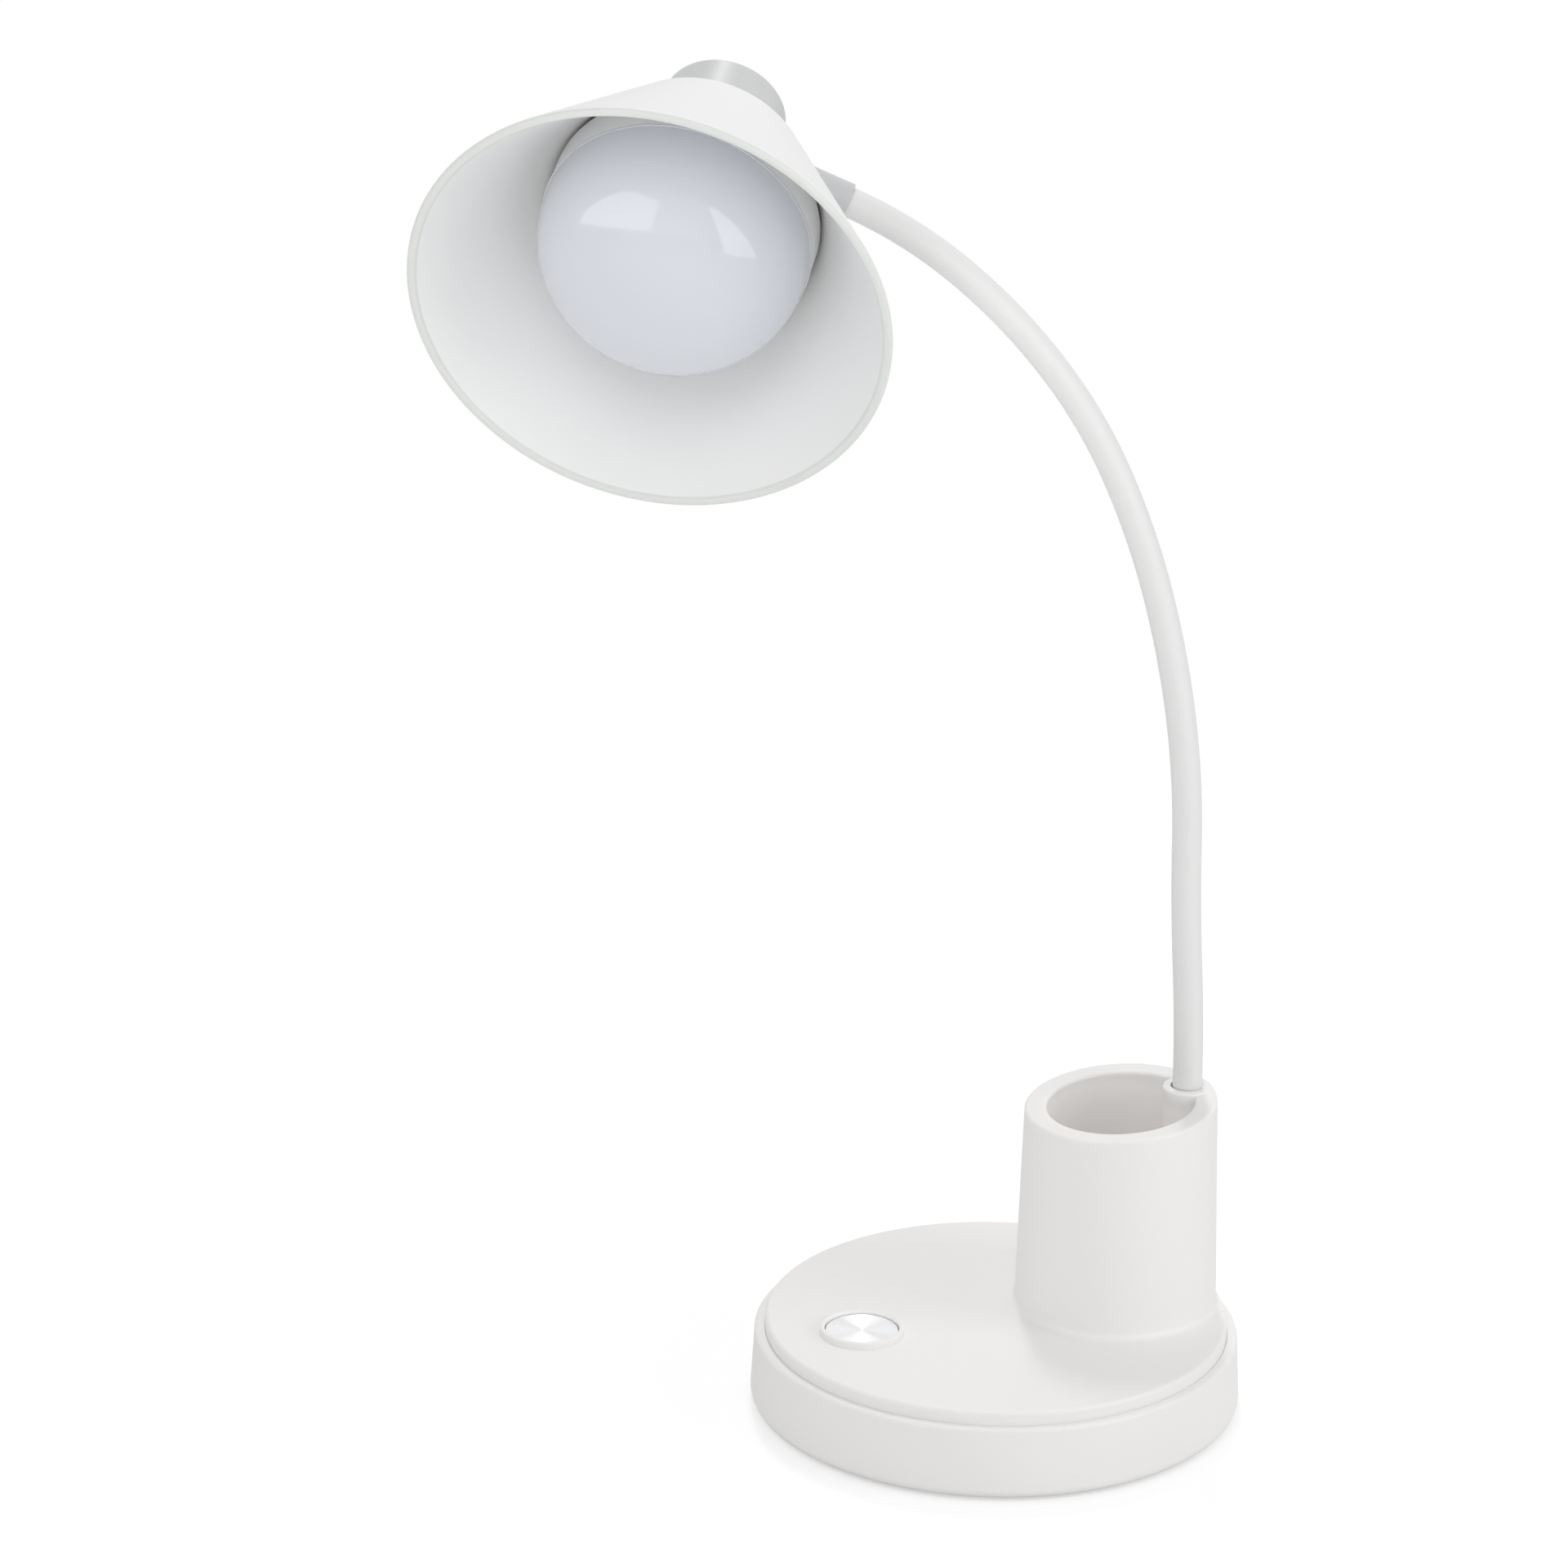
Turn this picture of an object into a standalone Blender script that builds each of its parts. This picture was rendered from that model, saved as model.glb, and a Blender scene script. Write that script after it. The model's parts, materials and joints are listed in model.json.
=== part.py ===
"""Desk lamp: a round weighted base with a cup, a gooseneck arm and a cone shade round a domed lamp.

Metres, +Z up. The origin is the centre of the foot pad on the desk. The key lies on -Y and the
cup on +Y. Heights in the base are measured from the desk. The head is built about its own
centre, where the arm's ferrule meets the axis of the shade: there +Z is the way the light goes
and +X carries on past the ferrule.
"""

import math

import bmesh
import bpy
from mathutils import Matrix, Vector

# Clearances shared by the whole lamp
GAP = 0.0003
CUT_OVERRUN = 0.001
MERGE_DISTANCE = 0.000001

# Sides of small round details
BORE_SIDES = 12
STUD_SIDES = 16
ROUND_SIDES = 20
BOSS_SIDES = 24
TAPE_SIDES = 32

# Foot pad and lower shell
PAD_INSET = 0.009
PAD_THICKNESS = 0.0016
SHELL_LIFT = 0.0008
SHELL_RADIUS = 0.075
SHELL_TAPER = 0.0012
SHELL_TOP = 0.0234
SHELL_WALL = 0.0024
SHELL_FLOOR = 0.0022
SHELL_FOOT_FILLET = 0.003
SHELL_TOP_FILLET = 0.0013
BASE_SIDES = 40

# Counterweight and its adhesive sheet
WEIGHT_CLEARANCE = 0.0013
WEIGHT_HEADROOM = 0.0029
WEIGHT_SPIGOT_RADIUS = 0.004
WEIGHT_EDGE = 0.001
TAPE_INSET = 0.0075
TAPE_THICKNESS = 0.0008

# Cover plate
COVER_CLEARANCE = 0.0008
COVER_RISE = 0.0041
COVER_WALL = 0.0024
COVER_EDGE_FILLET = 0.0012
SKIRT_WALL = 0.002
SKIRT_DEPTH = 0.006

# Screws that join the cover to the shell
BOSS_INSET = 0.0016
BOSS_RADIUS = 0.0037
BOSS_COUNT = 4
BOSS_TURN = math.radians(45)
TOWER_RADIUS = 0.0045
TOWER_HEIGHT = 0.0042
BASE_SCREW_RADIUS = 0.0015
BASE_SCREW_LENGTH = 0.010
BASE_SCREW_HEAD_RADIUS = 0.0028
BASE_SCREW_HEAD_HEIGHT = 0.0018
SCREW_CROWN_SHARE = 0.8

# Cup
CUP_EDGE_INSET = 0.0006
CUP_DRAFT = 0.0016
CUP_RIM_RADIUS = 0.0294
CUP_RIM_HEIGHT = 0.093
CUP_RIM_SLOPE = math.radians(4.5)
CUP_FOOT_FILLET = 0.0025
CUP_FILLET_SINK = 0.00005
CUP_EDGE_MARGIN = 0.0002
CUP_OUTER_WALL = 0.0024
RIM_WIDTH = 0.0068
WELL_DRAFT = 0.0006
WELL_WALL = 0.0018
WELL_FLOOR_RISE = 0.0025
WELL_FLOOR_THICKNESS = 0.002
RIM_THICKNESS = 0.0035
CUP_SIDES = 36

# Post in the cup that carries the arm
POST_EDGE_INSET = 0.0001
POST_WALL = 0.0025
POST_RISE = 0.003
POST_SOCKET_DEPTH = 0.012
POST_SOCKET_CLEARANCE = 0.0006
POST_SIDES = 20

# Arm
ARM_RADIUS = 0.0045
SLEEVE_WALL = 0.0016
LINK_LENGTH = 0.0394
LINK_TURNS = [math.radians(turn) for turn in (3.5, -3.0, 7.5, 7.0, 9.0, 14.0, 12.5, 16.5)]
ARM_PLANE_TURN = math.radians(22.35)
SOCKET_CLEARANCE = 0.0003
LINK_RING_SHARES = (0.34, 0.67)
SLEEVE_SIDES = 12
CORE_SIDES = 10

# Threaded stem, washer and nut that hold the arm
STEM_RADIUS = 0.004
STEM_BORE = 0.0017
STEM_REACH = 0.0061
WASHER_WIDTH = 0.0038
WASHER_THICKNESS = 0.001
NUT_WALL = 0.0032
NUT_HEIGHT = 0.0035
NUT_SIDES = 6

# Key
KEY_EDGE_DISTANCE = 0.0271
KEY_RING_WALL = 0.0015
KEY_RING_HEIGHT = 0.002
KEY_CLEARANCE = 0.0004
KEY_RADIUS = 0.011
KEY_DISC_THICKNESS = 0.001
KEY_RECESS = 0.0008
KEY_FLANGE_REACH = 0.0012
KEY_FLANGE_THICKNESS = 0.0014
KEY_SHELL = 0.0012
KEY_STEM_RADIUS = 0.0022
KEY_TRAVEL = 0.0006
KEY_SIDES = 28

# Control board and what is on it
BOARD_WIDTH = 0.044
BOARD_DEPTH = 0.032
BOARD_THICKNESS = 0.0016
BOARD_DROP = 0.0071
BOARD_SHIFT = 0.0015
STANDOFF_RADIUS = 0.003
STANDOFF_EDGE = 0.005
STANDOFF_REACH = 0.010
BOARD_SCREW_RADIUS = 0.00125
BOARD_SCREW_LENGTH = 0.006
BOARD_SCREW_HEAD_RADIUS = 0.0022
BOARD_SCREW_HEAD_HEIGHT = 0.0014
SWITCH_WIDTH = 0.0062
SWITCH_HEIGHT = 0.0035
SWITCH_BORE = 0.002
SWITCH_PLUNGER_RADIUS = 0.0017
SWITCH_PLUNGER_RISE = 0.0006
SWITCH_FLOOR = 0.0005
CAPACITOR_RADIUS = 0.0035
CAPACITOR_HEIGHT = 0.0058
CAPACITOR_SIDE = 0.003
CAPACITOR_EDGE = 0.0015
CHIP_WIDTH = 0.005
CHIP_DEPTH = 0.004
CHIP_HEIGHT = 0.0015
CHIP_SIDE = 0.003
CONNECTOR_WIDTH = 0.006
CONNECTOR_DEPTH = 0.0045
CONNECTOR_HEIGHT = 0.004
CONNECTOR_EDGE = 0.00125
CONNECTOR_SIDE = 0.0015
CONNECTOR_PITCH = 0.009

# Power inlet at the back
INLET_WIDTH = 0.009
INLET_HEIGHT = 0.0032
INLET_DEPTH = 0.0074
INLET_CENTRE_HEIGHT = 0.0125
INLET_SHELL = 0.0004
INLET_TONGUE = 0.0007
INLET_MARGIN = 0.0004
INLET_SETBACK = 0.0006
INLET_BOARD_WIDTH = 0.016
INLET_BOARD_DEPTH = 0.0105
INLET_BOARD_THICKNESS = 0.0012
INLET_RAIL_WIDTH = 0.003
INLET_SIDES = 8

# Leads inside the base and the head
LEAD_RADIUS = 0.0011
LEAD_RESOLUTION = 1
LEAD_ROUNDINGS = 2
LEAD_CORNER_SHARE = 0.25

# Ferrule and swivel
FERRULE_LENGTH = 0.0229
FERRULE_WALL = 0.0007
FERRULE_BORE_CLEARANCE = 0.0003
FERRULE_GRIP = 0.008
SPIGOT_RADIUS = 0.0036
SPIGOT_INSET = 0.0074
SWIVEL_NUT_WALL = 0.0013
SWIVEL_NUT_THICKNESS = 0.003
FERRULE_SIDES = 20
HEAD_TWIST = math.radians(66.3)

# Neck of the head
NECK_RADIUS = 0.0186
NECK_WALL = 0.002
NECK_BACK = -0.0163
NECK_FILLET = 0.0018
SWIVEL_BOSS_RADIUS = 0.0064
SWIVEL_BOSS_RISE = 0.0016
NECK_POST_INSET = 0.0024
NECK_POST_RADIUS = 0.0027
NECK_POST_LENGTH = 0.012
NECK_POST_COUNT = 3
NECK_SIDES = 28

# Shade
SHADE_BACK = 0.0097
SHADE_BACK_RADIUS = 0.0302
SHADE_RIM = 0.0817
SHADE_RIM_RADIUS = 0.0717
SHADE_WALL = 0.003
SHADE_BACK_WALL = 0.0024
SHADE_BACK_FILLET = 0.0014
SHADE_HOLE_RADIUS = 0.006
SHADE_SIDES = 44

# Lamp housing, its board and its diffuser
HOUSING_RADIUS = 0.0397
HOUSING_STRAIGHT = 0.0119
HOUSING_WALL = 0.002
HOUSING_LINE_CLEARANCE = 0.0012
HOUSING_MOUTH_WALL = 0.0018
LED_SEAT_DROP = 0.0054
LED_SEAT_WIDTH = 0.004
LED_SEAT_THICKNESS = 0.0015
LED_BOARD_INSET = 0.0017
LED_BOARD_THICKNESS = 0.0012
LED_CIRCLE = 0.022
LED_COUNT = 8
LED_WIDTH = 0.0035
LED_HEIGHT = 0.0009
HEAD_SCREW_RADIUS = 0.00125
HEAD_SCREW_LENGTH = 0.010
HEAD_SCREW_HEAD_RADIUS = 0.0023
HEAD_SCREW_HEAD_HEIGHT = 0.0016
DOME_WALL = 0.0014
DOME_BAND = 0.002
DOME_HEIGHT = 0.0361
DOME_SPIGOT_DEPTH = 0.0032
DOME_SPIGOT_WALL = 0.0014
DOME_FULLNESS = 2.25
DOME_STEPS = 6
DOME_SIDES = 32

# Sizes and places in the base that follow from the sizes above
PAD_RADIUS = SHELL_RADIUS - PAD_INSET
RECESS_TOP = PAD_THICKNESS + GAP
FLOOR_TOP = RECESS_TOP + SHELL_FLOOR
TOWER_TOP = FLOOR_TOP + TOWER_HEIGHT
SHELL_TOP_RADIUS = SHELL_RADIUS - SHELL_TAPER
SHELL_INNER_RADIUS = SHELL_TOP_RADIUS - SHELL_WALL
COVER_RADIUS = SHELL_INNER_RADIUS - COVER_CLEARANCE
COVER_TOP = SHELL_TOP + COVER_RISE
COVER_UNDER = COVER_TOP - COVER_WALL
SKIRT_INNER_RADIUS = COVER_RADIUS - SKIRT_WALL
BOSS_CIRCLE = SKIRT_INNER_RADIUS - BOSS_RADIUS - BOSS_INSET
BOARD_TOP = COVER_UNDER - BOARD_DROP
BOARD_UNDER = BOARD_TOP - BOARD_THICKNESS
TAPE_BOTTOM = FLOOR_TOP + GAP
WEIGHT_BOTTOM = TAPE_BOTTOM + TAPE_THICKNESS + GAP
WEIGHT_TOP = BOARD_UNDER - WEIGHT_HEADROOM
WEIGHT_RADIUS = BOSS_CIRCLE - TOWER_RADIUS - WEIGHT_CLEARANCE
TAPE_RADIUS = WEIGHT_RADIUS - TAPE_INSET
INLET_SEAT = INLET_CENTRE_HEIGHT - INLET_HEIGHT / 2

# Sizes and places of the cup, its post and the arm's anchor
CUP_FOOT_RADIUS = CUP_RIM_RADIUS + CUP_DRAFT
CUP_OFFSET = COVER_RADIUS - CUP_FOOT_RADIUS - CUP_EDGE_INSET
WELL_RADIUS = CUP_RIM_RADIUS - RIM_WIDTH
WELL_FOOT_RADIUS = WELL_RADIUS - WELL_DRAFT
WELL_FLOOR_HEIGHT = COVER_TOP + WELL_FLOOR_RISE
POST_SOCKET_RADIUS = ARM_RADIUS + POST_SOCKET_CLEARANCE
POST_RADIUS = POST_SOCKET_RADIUS + POST_WALL
POST_OFFSET = CUP_OFFSET + CUP_RIM_RADIUS - POST_RADIUS - POST_EDGE_INSET
POST_TOP = CUP_RIM_HEIGHT + POST_RISE
SLEEVE_BORE = ARM_RADIUS - SLEEVE_WALL
ARM_CORE_RADIUS = SLEEVE_BORE - GAP
SOCKET_RADIUS = ARM_RADIUS + SOCKET_CLEARANCE
STEM_LOW_END = COVER_UNDER - STEM_REACH
WASHER_RADIUS = STEM_RADIUS + WASHER_WIDTH
NUT_RADIUS = STEM_RADIUS + NUT_WALL

# Sizes and places of the key and of what is on the board
KEY_HOLE_RADIUS = KEY_RADIUS + KEY_CLEARANCE
KEY_RING_RADIUS = KEY_HOLE_RADIUS + KEY_RING_WALL
KEY_FLANGE_RADIUS = KEY_HOLE_RADIUS + KEY_FLANGE_REACH
KEY_OFFSET = COVER_RADIUS - KEY_EDGE_DISTANCE
KEY_TOP = COVER_TOP + KEY_RING_HEIGHT - KEY_RECESS
KEY_CAP_TOP = KEY_TOP - KEY_DISC_THICKNESS - GAP
KEY_FLANGE_TOP = COVER_UNDER - GAP
PART_SEAT = BOARD_TOP + GAP
SWITCH_TOP = PART_SEAT + SWITCH_HEIGHT
PLUNGER_TOP = SWITCH_TOP + SWITCH_PLUNGER_RISE
BOARD_OFFSET = KEY_OFFSET - BOARD_SHIFT
BOARD_SIDE = BOARD_WIDTH / 2
BOARD_INNER_EDGE = BOARD_DEPTH / 2 - BOARD_OFFSET
STANDOFF_SPREAD = BOARD_SIDE - STANDOFF_EDGE
STANDOFF_OFFSET = BOARD_OFFSET + STANDOFF_REACH
CAPACITOR_X = CAPACITOR_SIDE + CAPACITOR_RADIUS - BOARD_SIDE
CAPACITOR_Y = BOARD_INNER_EDGE - CAPACITOR_EDGE - CAPACITOR_RADIUS
CHIP_X = CHIP_SIDE + CHIP_WIDTH / 2 - BOARD_SIDE
CONNECTOR_Y = BOARD_INNER_EDGE - CONNECTOR_EDGE - CONNECTOR_DEPTH / 2
LAMP_CONNECTOR_X = BOARD_SIDE - CONNECTOR_SIDE - CONNECTOR_WIDTH / 2
SUPPLY_CONNECTOR_X = LAMP_CONNECTOR_X - CONNECTOR_PITCH

# Sizes and places in the head
SWIVEL_BOSS_REACH = NECK_RADIUS + SWIVEL_BOSS_RISE
SWIVEL_NUT_RADIUS = SPIGOT_RADIUS + GAP + SWIVEL_NUT_WALL
SPIGOT_REACH = NECK_RADIUS - SPIGOT_INSET
FERRULE_BORE = ARM_RADIUS + FERRULE_BORE_CLEARANCE
FERRULE_RADIUS = FERRULE_BORE + FERRULE_WALL
FERRULE_REACH = SWIVEL_BOSS_REACH + GAP + FERRULE_LENGTH
NECK_POST_CIRCLE = NECK_RADIUS - NECK_WALL - NECK_POST_INSET
SHADE_SLOPE = (SHADE_RIM_RADIUS - SHADE_BACK_RADIUS) / (SHADE_RIM - SHADE_BACK)
SHADE_RIM_INNER_RADIUS = SHADE_RIM_RADIUS - SHADE_WALL
SHADE_FLOOR = SHADE_BACK + SHADE_BACK_WALL
LINING_RIM_RADIUS = SHADE_RIM_INNER_RADIUS - HOUSING_LINE_CLEARANCE
HOUSING_BACK = SHADE_FLOOR + GAP
HOUSING_BEND = SHADE_RIM - (LINING_RIM_RADIUS - HOUSING_RADIUS) / SHADE_SLOPE
HOUSING_FRONT = HOUSING_BEND + HOUSING_STRAIGHT
HOUSING_MOUTH_RADIUS = HOUSING_RADIUS - HOUSING_MOUTH_WALL
LED_SEAT = HOUSING_FRONT - LED_SEAT_DROP
LED_BOARD_RADIUS = HOUSING_MOUTH_RADIUS - LED_BOARD_INSET
DOME_TIP = HOUSING_FRONT + DOME_HEIGHT

WHITE = ((0.83, 0.82, 0.81), 0.45, 0.0)
PALE_GREY = ((0.72, 0.73, 0.72), 0.38, 0.0)
RUBBER_GREY = ((0.10, 0.10, 0.10), 0.85, 0.0)
STEEL = ((0.55, 0.56, 0.57), 0.35, 1.0)
IRON = ((0.20, 0.20, 0.21), 0.6, 1.0)
SPUN_ALUMINIUM = ((0.91, 0.92, 0.93), 0.22, 1.0)
BOARD_GREEN = ((0.05, 0.25, 0.12), 0.5, 0.0)
BLACK_PLASTIC = ((0.03, 0.03, 0.03), 0.5, 0.0)
TAPE_CREAM = ((0.80, 0.76, 0.60), 0.8, 0.0)
DIFFUSER = ((0.82, 0.84, 0.88), 0.12, 0.0)
CORE_STEEL = ((0.42, 0.43, 0.45), 0.4, 1.0)
LEAD_WHITE = ((0.75, 0.75, 0.74), 0.5, 0.0)


def clear_scene():
    """Remove whatever the scene holds."""
    for scene_object in list(bpy.data.objects):
        bpy.data.objects.remove(scene_object, do_unlink=True)


def finish_with(shape, finish):
    """Give a piece its own material from a (colour, roughness, metallic) finish."""
    colour, roughness, metallic = finish
    material = bpy.data.materials.new(shape.name)
    material.use_nodes = True
    shader = material.node_tree.nodes["Principled BSDF"]
    shader.inputs["Base Color"].default_value = (*colour, 1.0)
    shader.inputs["Roughness"].default_value = roughness
    shader.inputs["Metallic"].default_value = metallic
    shape.data.materials.append(material)


def object_from(name, shape_mesh, finish=None, smooth_angle=math.radians(40)):
    """Close a bmesh into a linked object, smooth but for its corners."""
    bmesh.ops.recalc_face_normals(shape_mesh, faces=shape_mesh.faces)
    mesh = bpy.data.meshes.new(name)
    shape_mesh.to_mesh(mesh)
    shape_mesh.free()
    mesh.shade_smooth()
    mesh.set_sharp_from_angle(angle=smooth_angle)
    shape = bpy.data.objects.new(name, mesh)
    bpy.context.collection.objects.link(shape)
    if finish:
        finish_with(shape, finish)
    return shape


def turned(name, outline, sides, finish=None):
    """Spin a closed outline of (radius, height) points about the local Z axis."""
    shape = bmesh.new()
    verts = [shape.verts.new((radius, 0, height)) for radius, height in outline]
    edges = []
    for index, (radius, _) in enumerate(outline):
        if radius > 0 or outline[index - 1][0] > 0:
            edges.append(shape.edges.new((verts[index - 1], verts[index])))
    bmesh.ops.spin(shape, geom=verts + edges, cent=(0, 0, 0), axis=(0, 0, 1),
                   angle=math.tau, steps=sides, use_merge=True)
    bmesh.ops.remove_doubles(shape, verts=shape.verts, dist=MERGE_DISTANCE)
    return object_from(name, shape, finish)


def block(name, size, centre, finish=None):
    """Make a box of the given size about a centre."""
    shape = bmesh.new()
    bmesh.ops.create_cube(shape, size=1)
    bmesh.ops.scale(shape, vec=size, verts=shape.verts)
    bmesh.ops.translate(shape, vec=centre, verts=shape.verts)
    return object_from(name, shape, finish)


def arc(centre, radius, start, end, steps):
    """List points on an arc of a turned outline, from one angle to another in degrees."""
    points = []
    for step in range(steps + 1):
        angle = math.radians(start + (end - start) * step / steps)
        points.append((centre[0] + radius * math.cos(angle), centre[1] + radius * math.sin(angle)))
    return points


def rod(name, radius, low, high, sides, finish=None):
    """Make a plain cylinder between two heights on the local Z axis."""
    outline = [(0, low), (radius, low), (radius, high), (0, high)]
    return turned(name, outline, sides, finish)


def ring(name, outer, inner, low, high, sides, finish=None):
    """Make a plain ring between two heights on the local Z axis."""
    outline = [(inner, low), (outer, low), (outer, high), (inner, high)]
    return turned(name, outline, sides, finish)


def stepped_bore(name, narrow, narrow_end, wide, wide_end, step, sides):
    """Make a bore's cutter: narrow to one end and wide to the other, with a step between them."""
    outline = [(0, narrow_end), (narrow, narrow_end), (narrow, step), (wide, step), (wide, wide_end),
               (0, wide_end)]
    return turned(name, outline, sides)


def screw(name, radius, length, head_radius, head_height, finish):
    """Make a pan head screw with its shank up from z = 0, its head below and a drive recess."""
    recess = head_radius / 2
    outline = [(0, -head_height / 2), (recess, -head_height), (head_radius * SCREW_CROWN_SHARE, -head_height),
               (head_radius, -head_height / 2), (head_radius, 0), (radius, 0),
               (radius, length - radius), (radius / 2, length), (0, length)]
    return turned(name, outline, BORE_SIDES, finish)


def moved(shape, place):
    """Set a matrix into a piece's mesh."""
    shape.data.transform(place)
    return shape


def guide(shape):
    """Mark a shape as a cutter or adder that isn't a piece of its own."""
    shape.hide_render = True
    shape.display_type = "WIRE"
    return shape


def group(name, shapes):
    """Put shapes that don't touch each other into one guide, as separate bodies."""
    joined = bmesh.new()
    for shape in shapes:
        joined.from_mesh(shape.data)
        bpy.data.objects.remove(shape, do_unlink=True)
    return object_from(name, joined)


def combine(target, others, operation):
    """Cut, join or limit a piece by other shapes with exact Booleans."""
    for other in others:
        modifier = target.modifiers.new(f"{operation.lower()} {other.name}", "BOOLEAN")
        modifier.operation = operation
        modifier.solver = "EXACT"
        modifier.object = guide(other)
    return target


def on_circle(radius, count, turn):
    """List evenly spaced places on a circle in the XY plane."""
    angles = [turn + math.tau * index / count for index in range(count)]
    return [Vector((radius * math.cos(angle), radius * math.sin(angle), 0)) for angle in angles]


def seated(shapes, parent):
    """Parent pieces, built in the parent's frame, to an empty."""
    for shape in shapes:
        shape.parent = parent


def empty_at(name, place, parent=None):
    """Make an empty that stands on a joint's axis, with its place given in the world."""
    empty = bpy.data.objects.new(name, None)
    bpy.context.collection.objects.link(empty)
    if parent:
        empty.parent = parent
        empty.matrix_local = parent.matrix_world.inverted() @ place
    else:
        empty.matrix_world = place
    bpy.context.view_layer.update()
    return empty


def lead(name, stops, finish=LEAD_WHITE):
    """Run a lead through the rounded corners of a line of stops, with closed flat ends."""
    points = [Vector(stop) for stop in stops]
    for _ in range(LEAD_ROUNDINGS):
        rounded = [points[0]]
        for start, end in zip(points, points[1:]):
            rounded += [start.lerp(end, LEAD_CORNER_SHARE), end.lerp(start, LEAD_CORNER_SHARE)]
        points = [*rounded, points[-1]]
    curve = bpy.data.curves.new(name, "CURVE")
    curve.dimensions = "3D"
    curve.bevel_depth = LEAD_RADIUS
    curve.bevel_resolution = LEAD_RESOLUTION
    curve.use_fill_caps = True
    spline = curve.splines.new("POLY")
    spline.points.add(len(points) - 1)
    for place, point in zip(spline.points, points):
        place.co = (*point, 1)
    shape = bpy.data.objects.new(name, curve)
    bpy.context.collection.objects.link(shape)
    finish_with(shape, finish)
    return shape


def build_pad_and_weight():
    """Make the foot pad, the counterweight and the adhesive sheet under it."""
    rod("foot_pad", PAD_RADIUS, 0, PAD_THICKNESS, BASE_SIDES, RUBBER_GREY)
    bore = WEIGHT_SPIGOT_RADIUS + GAP
    ring("weight_tape", TAPE_RADIUS, bore, TAPE_BOTTOM, TAPE_BOTTOM + TAPE_THICKNESS, TAPE_SIDES,
         TAPE_CREAM)
    outline = [(bore, WEIGHT_BOTTOM), (WEIGHT_RADIUS - WEIGHT_EDGE, WEIGHT_BOTTOM),
               (WEIGHT_RADIUS, WEIGHT_BOTTOM + WEIGHT_EDGE), (WEIGHT_RADIUS, WEIGHT_TOP - WEIGHT_EDGE),
               (WEIGHT_RADIUS - WEIGHT_EDGE, WEIGHT_TOP), (bore, WEIGHT_TOP)]
    turned("counterweight", outline, BASE_SIDES, IRON)


def inlet_prism(name, width, height, front, back, centre_height, finish=None):
    """Make a prism with round ends, as wide as a USB-C plug is, lying along Y."""
    radius = height / 2
    spread = width / 2 - radius
    shape = bmesh.new()
    verts = []
    for side in (1, -1):
        for step in range(INLET_SIDES // 2 + 1):
            angle = side * math.pi / 2 - side * math.pi * step / (INLET_SIDES // 2)
            x = side * (spread + radius * math.cos(angle))
            verts.append(shape.verts.new((x, front, centre_height + radius * math.sin(angle))))
    face = shape.faces.new(verts)
    extruded = bmesh.ops.extrude_face_region(shape, geom=[face])["geom"]
    moved_verts = [item for item in extruded if isinstance(item, bmesh.types.BMVert)]
    bmesh.ops.translate(shape, vec=(0, back - front, 0), verts=moved_verts)
    return object_from(name, shape, finish)


def inlet_board_back():
    """Give how far back the inlet's board and rails reach: to the round wall, less a gap."""
    flat = SHELL_INNER_RADIUS * math.cos(math.pi / BASE_SIDES)
    return math.sqrt(flat ** 2 - (INLET_BOARD_WIDTH / 2) ** 2) - GAP


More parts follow.
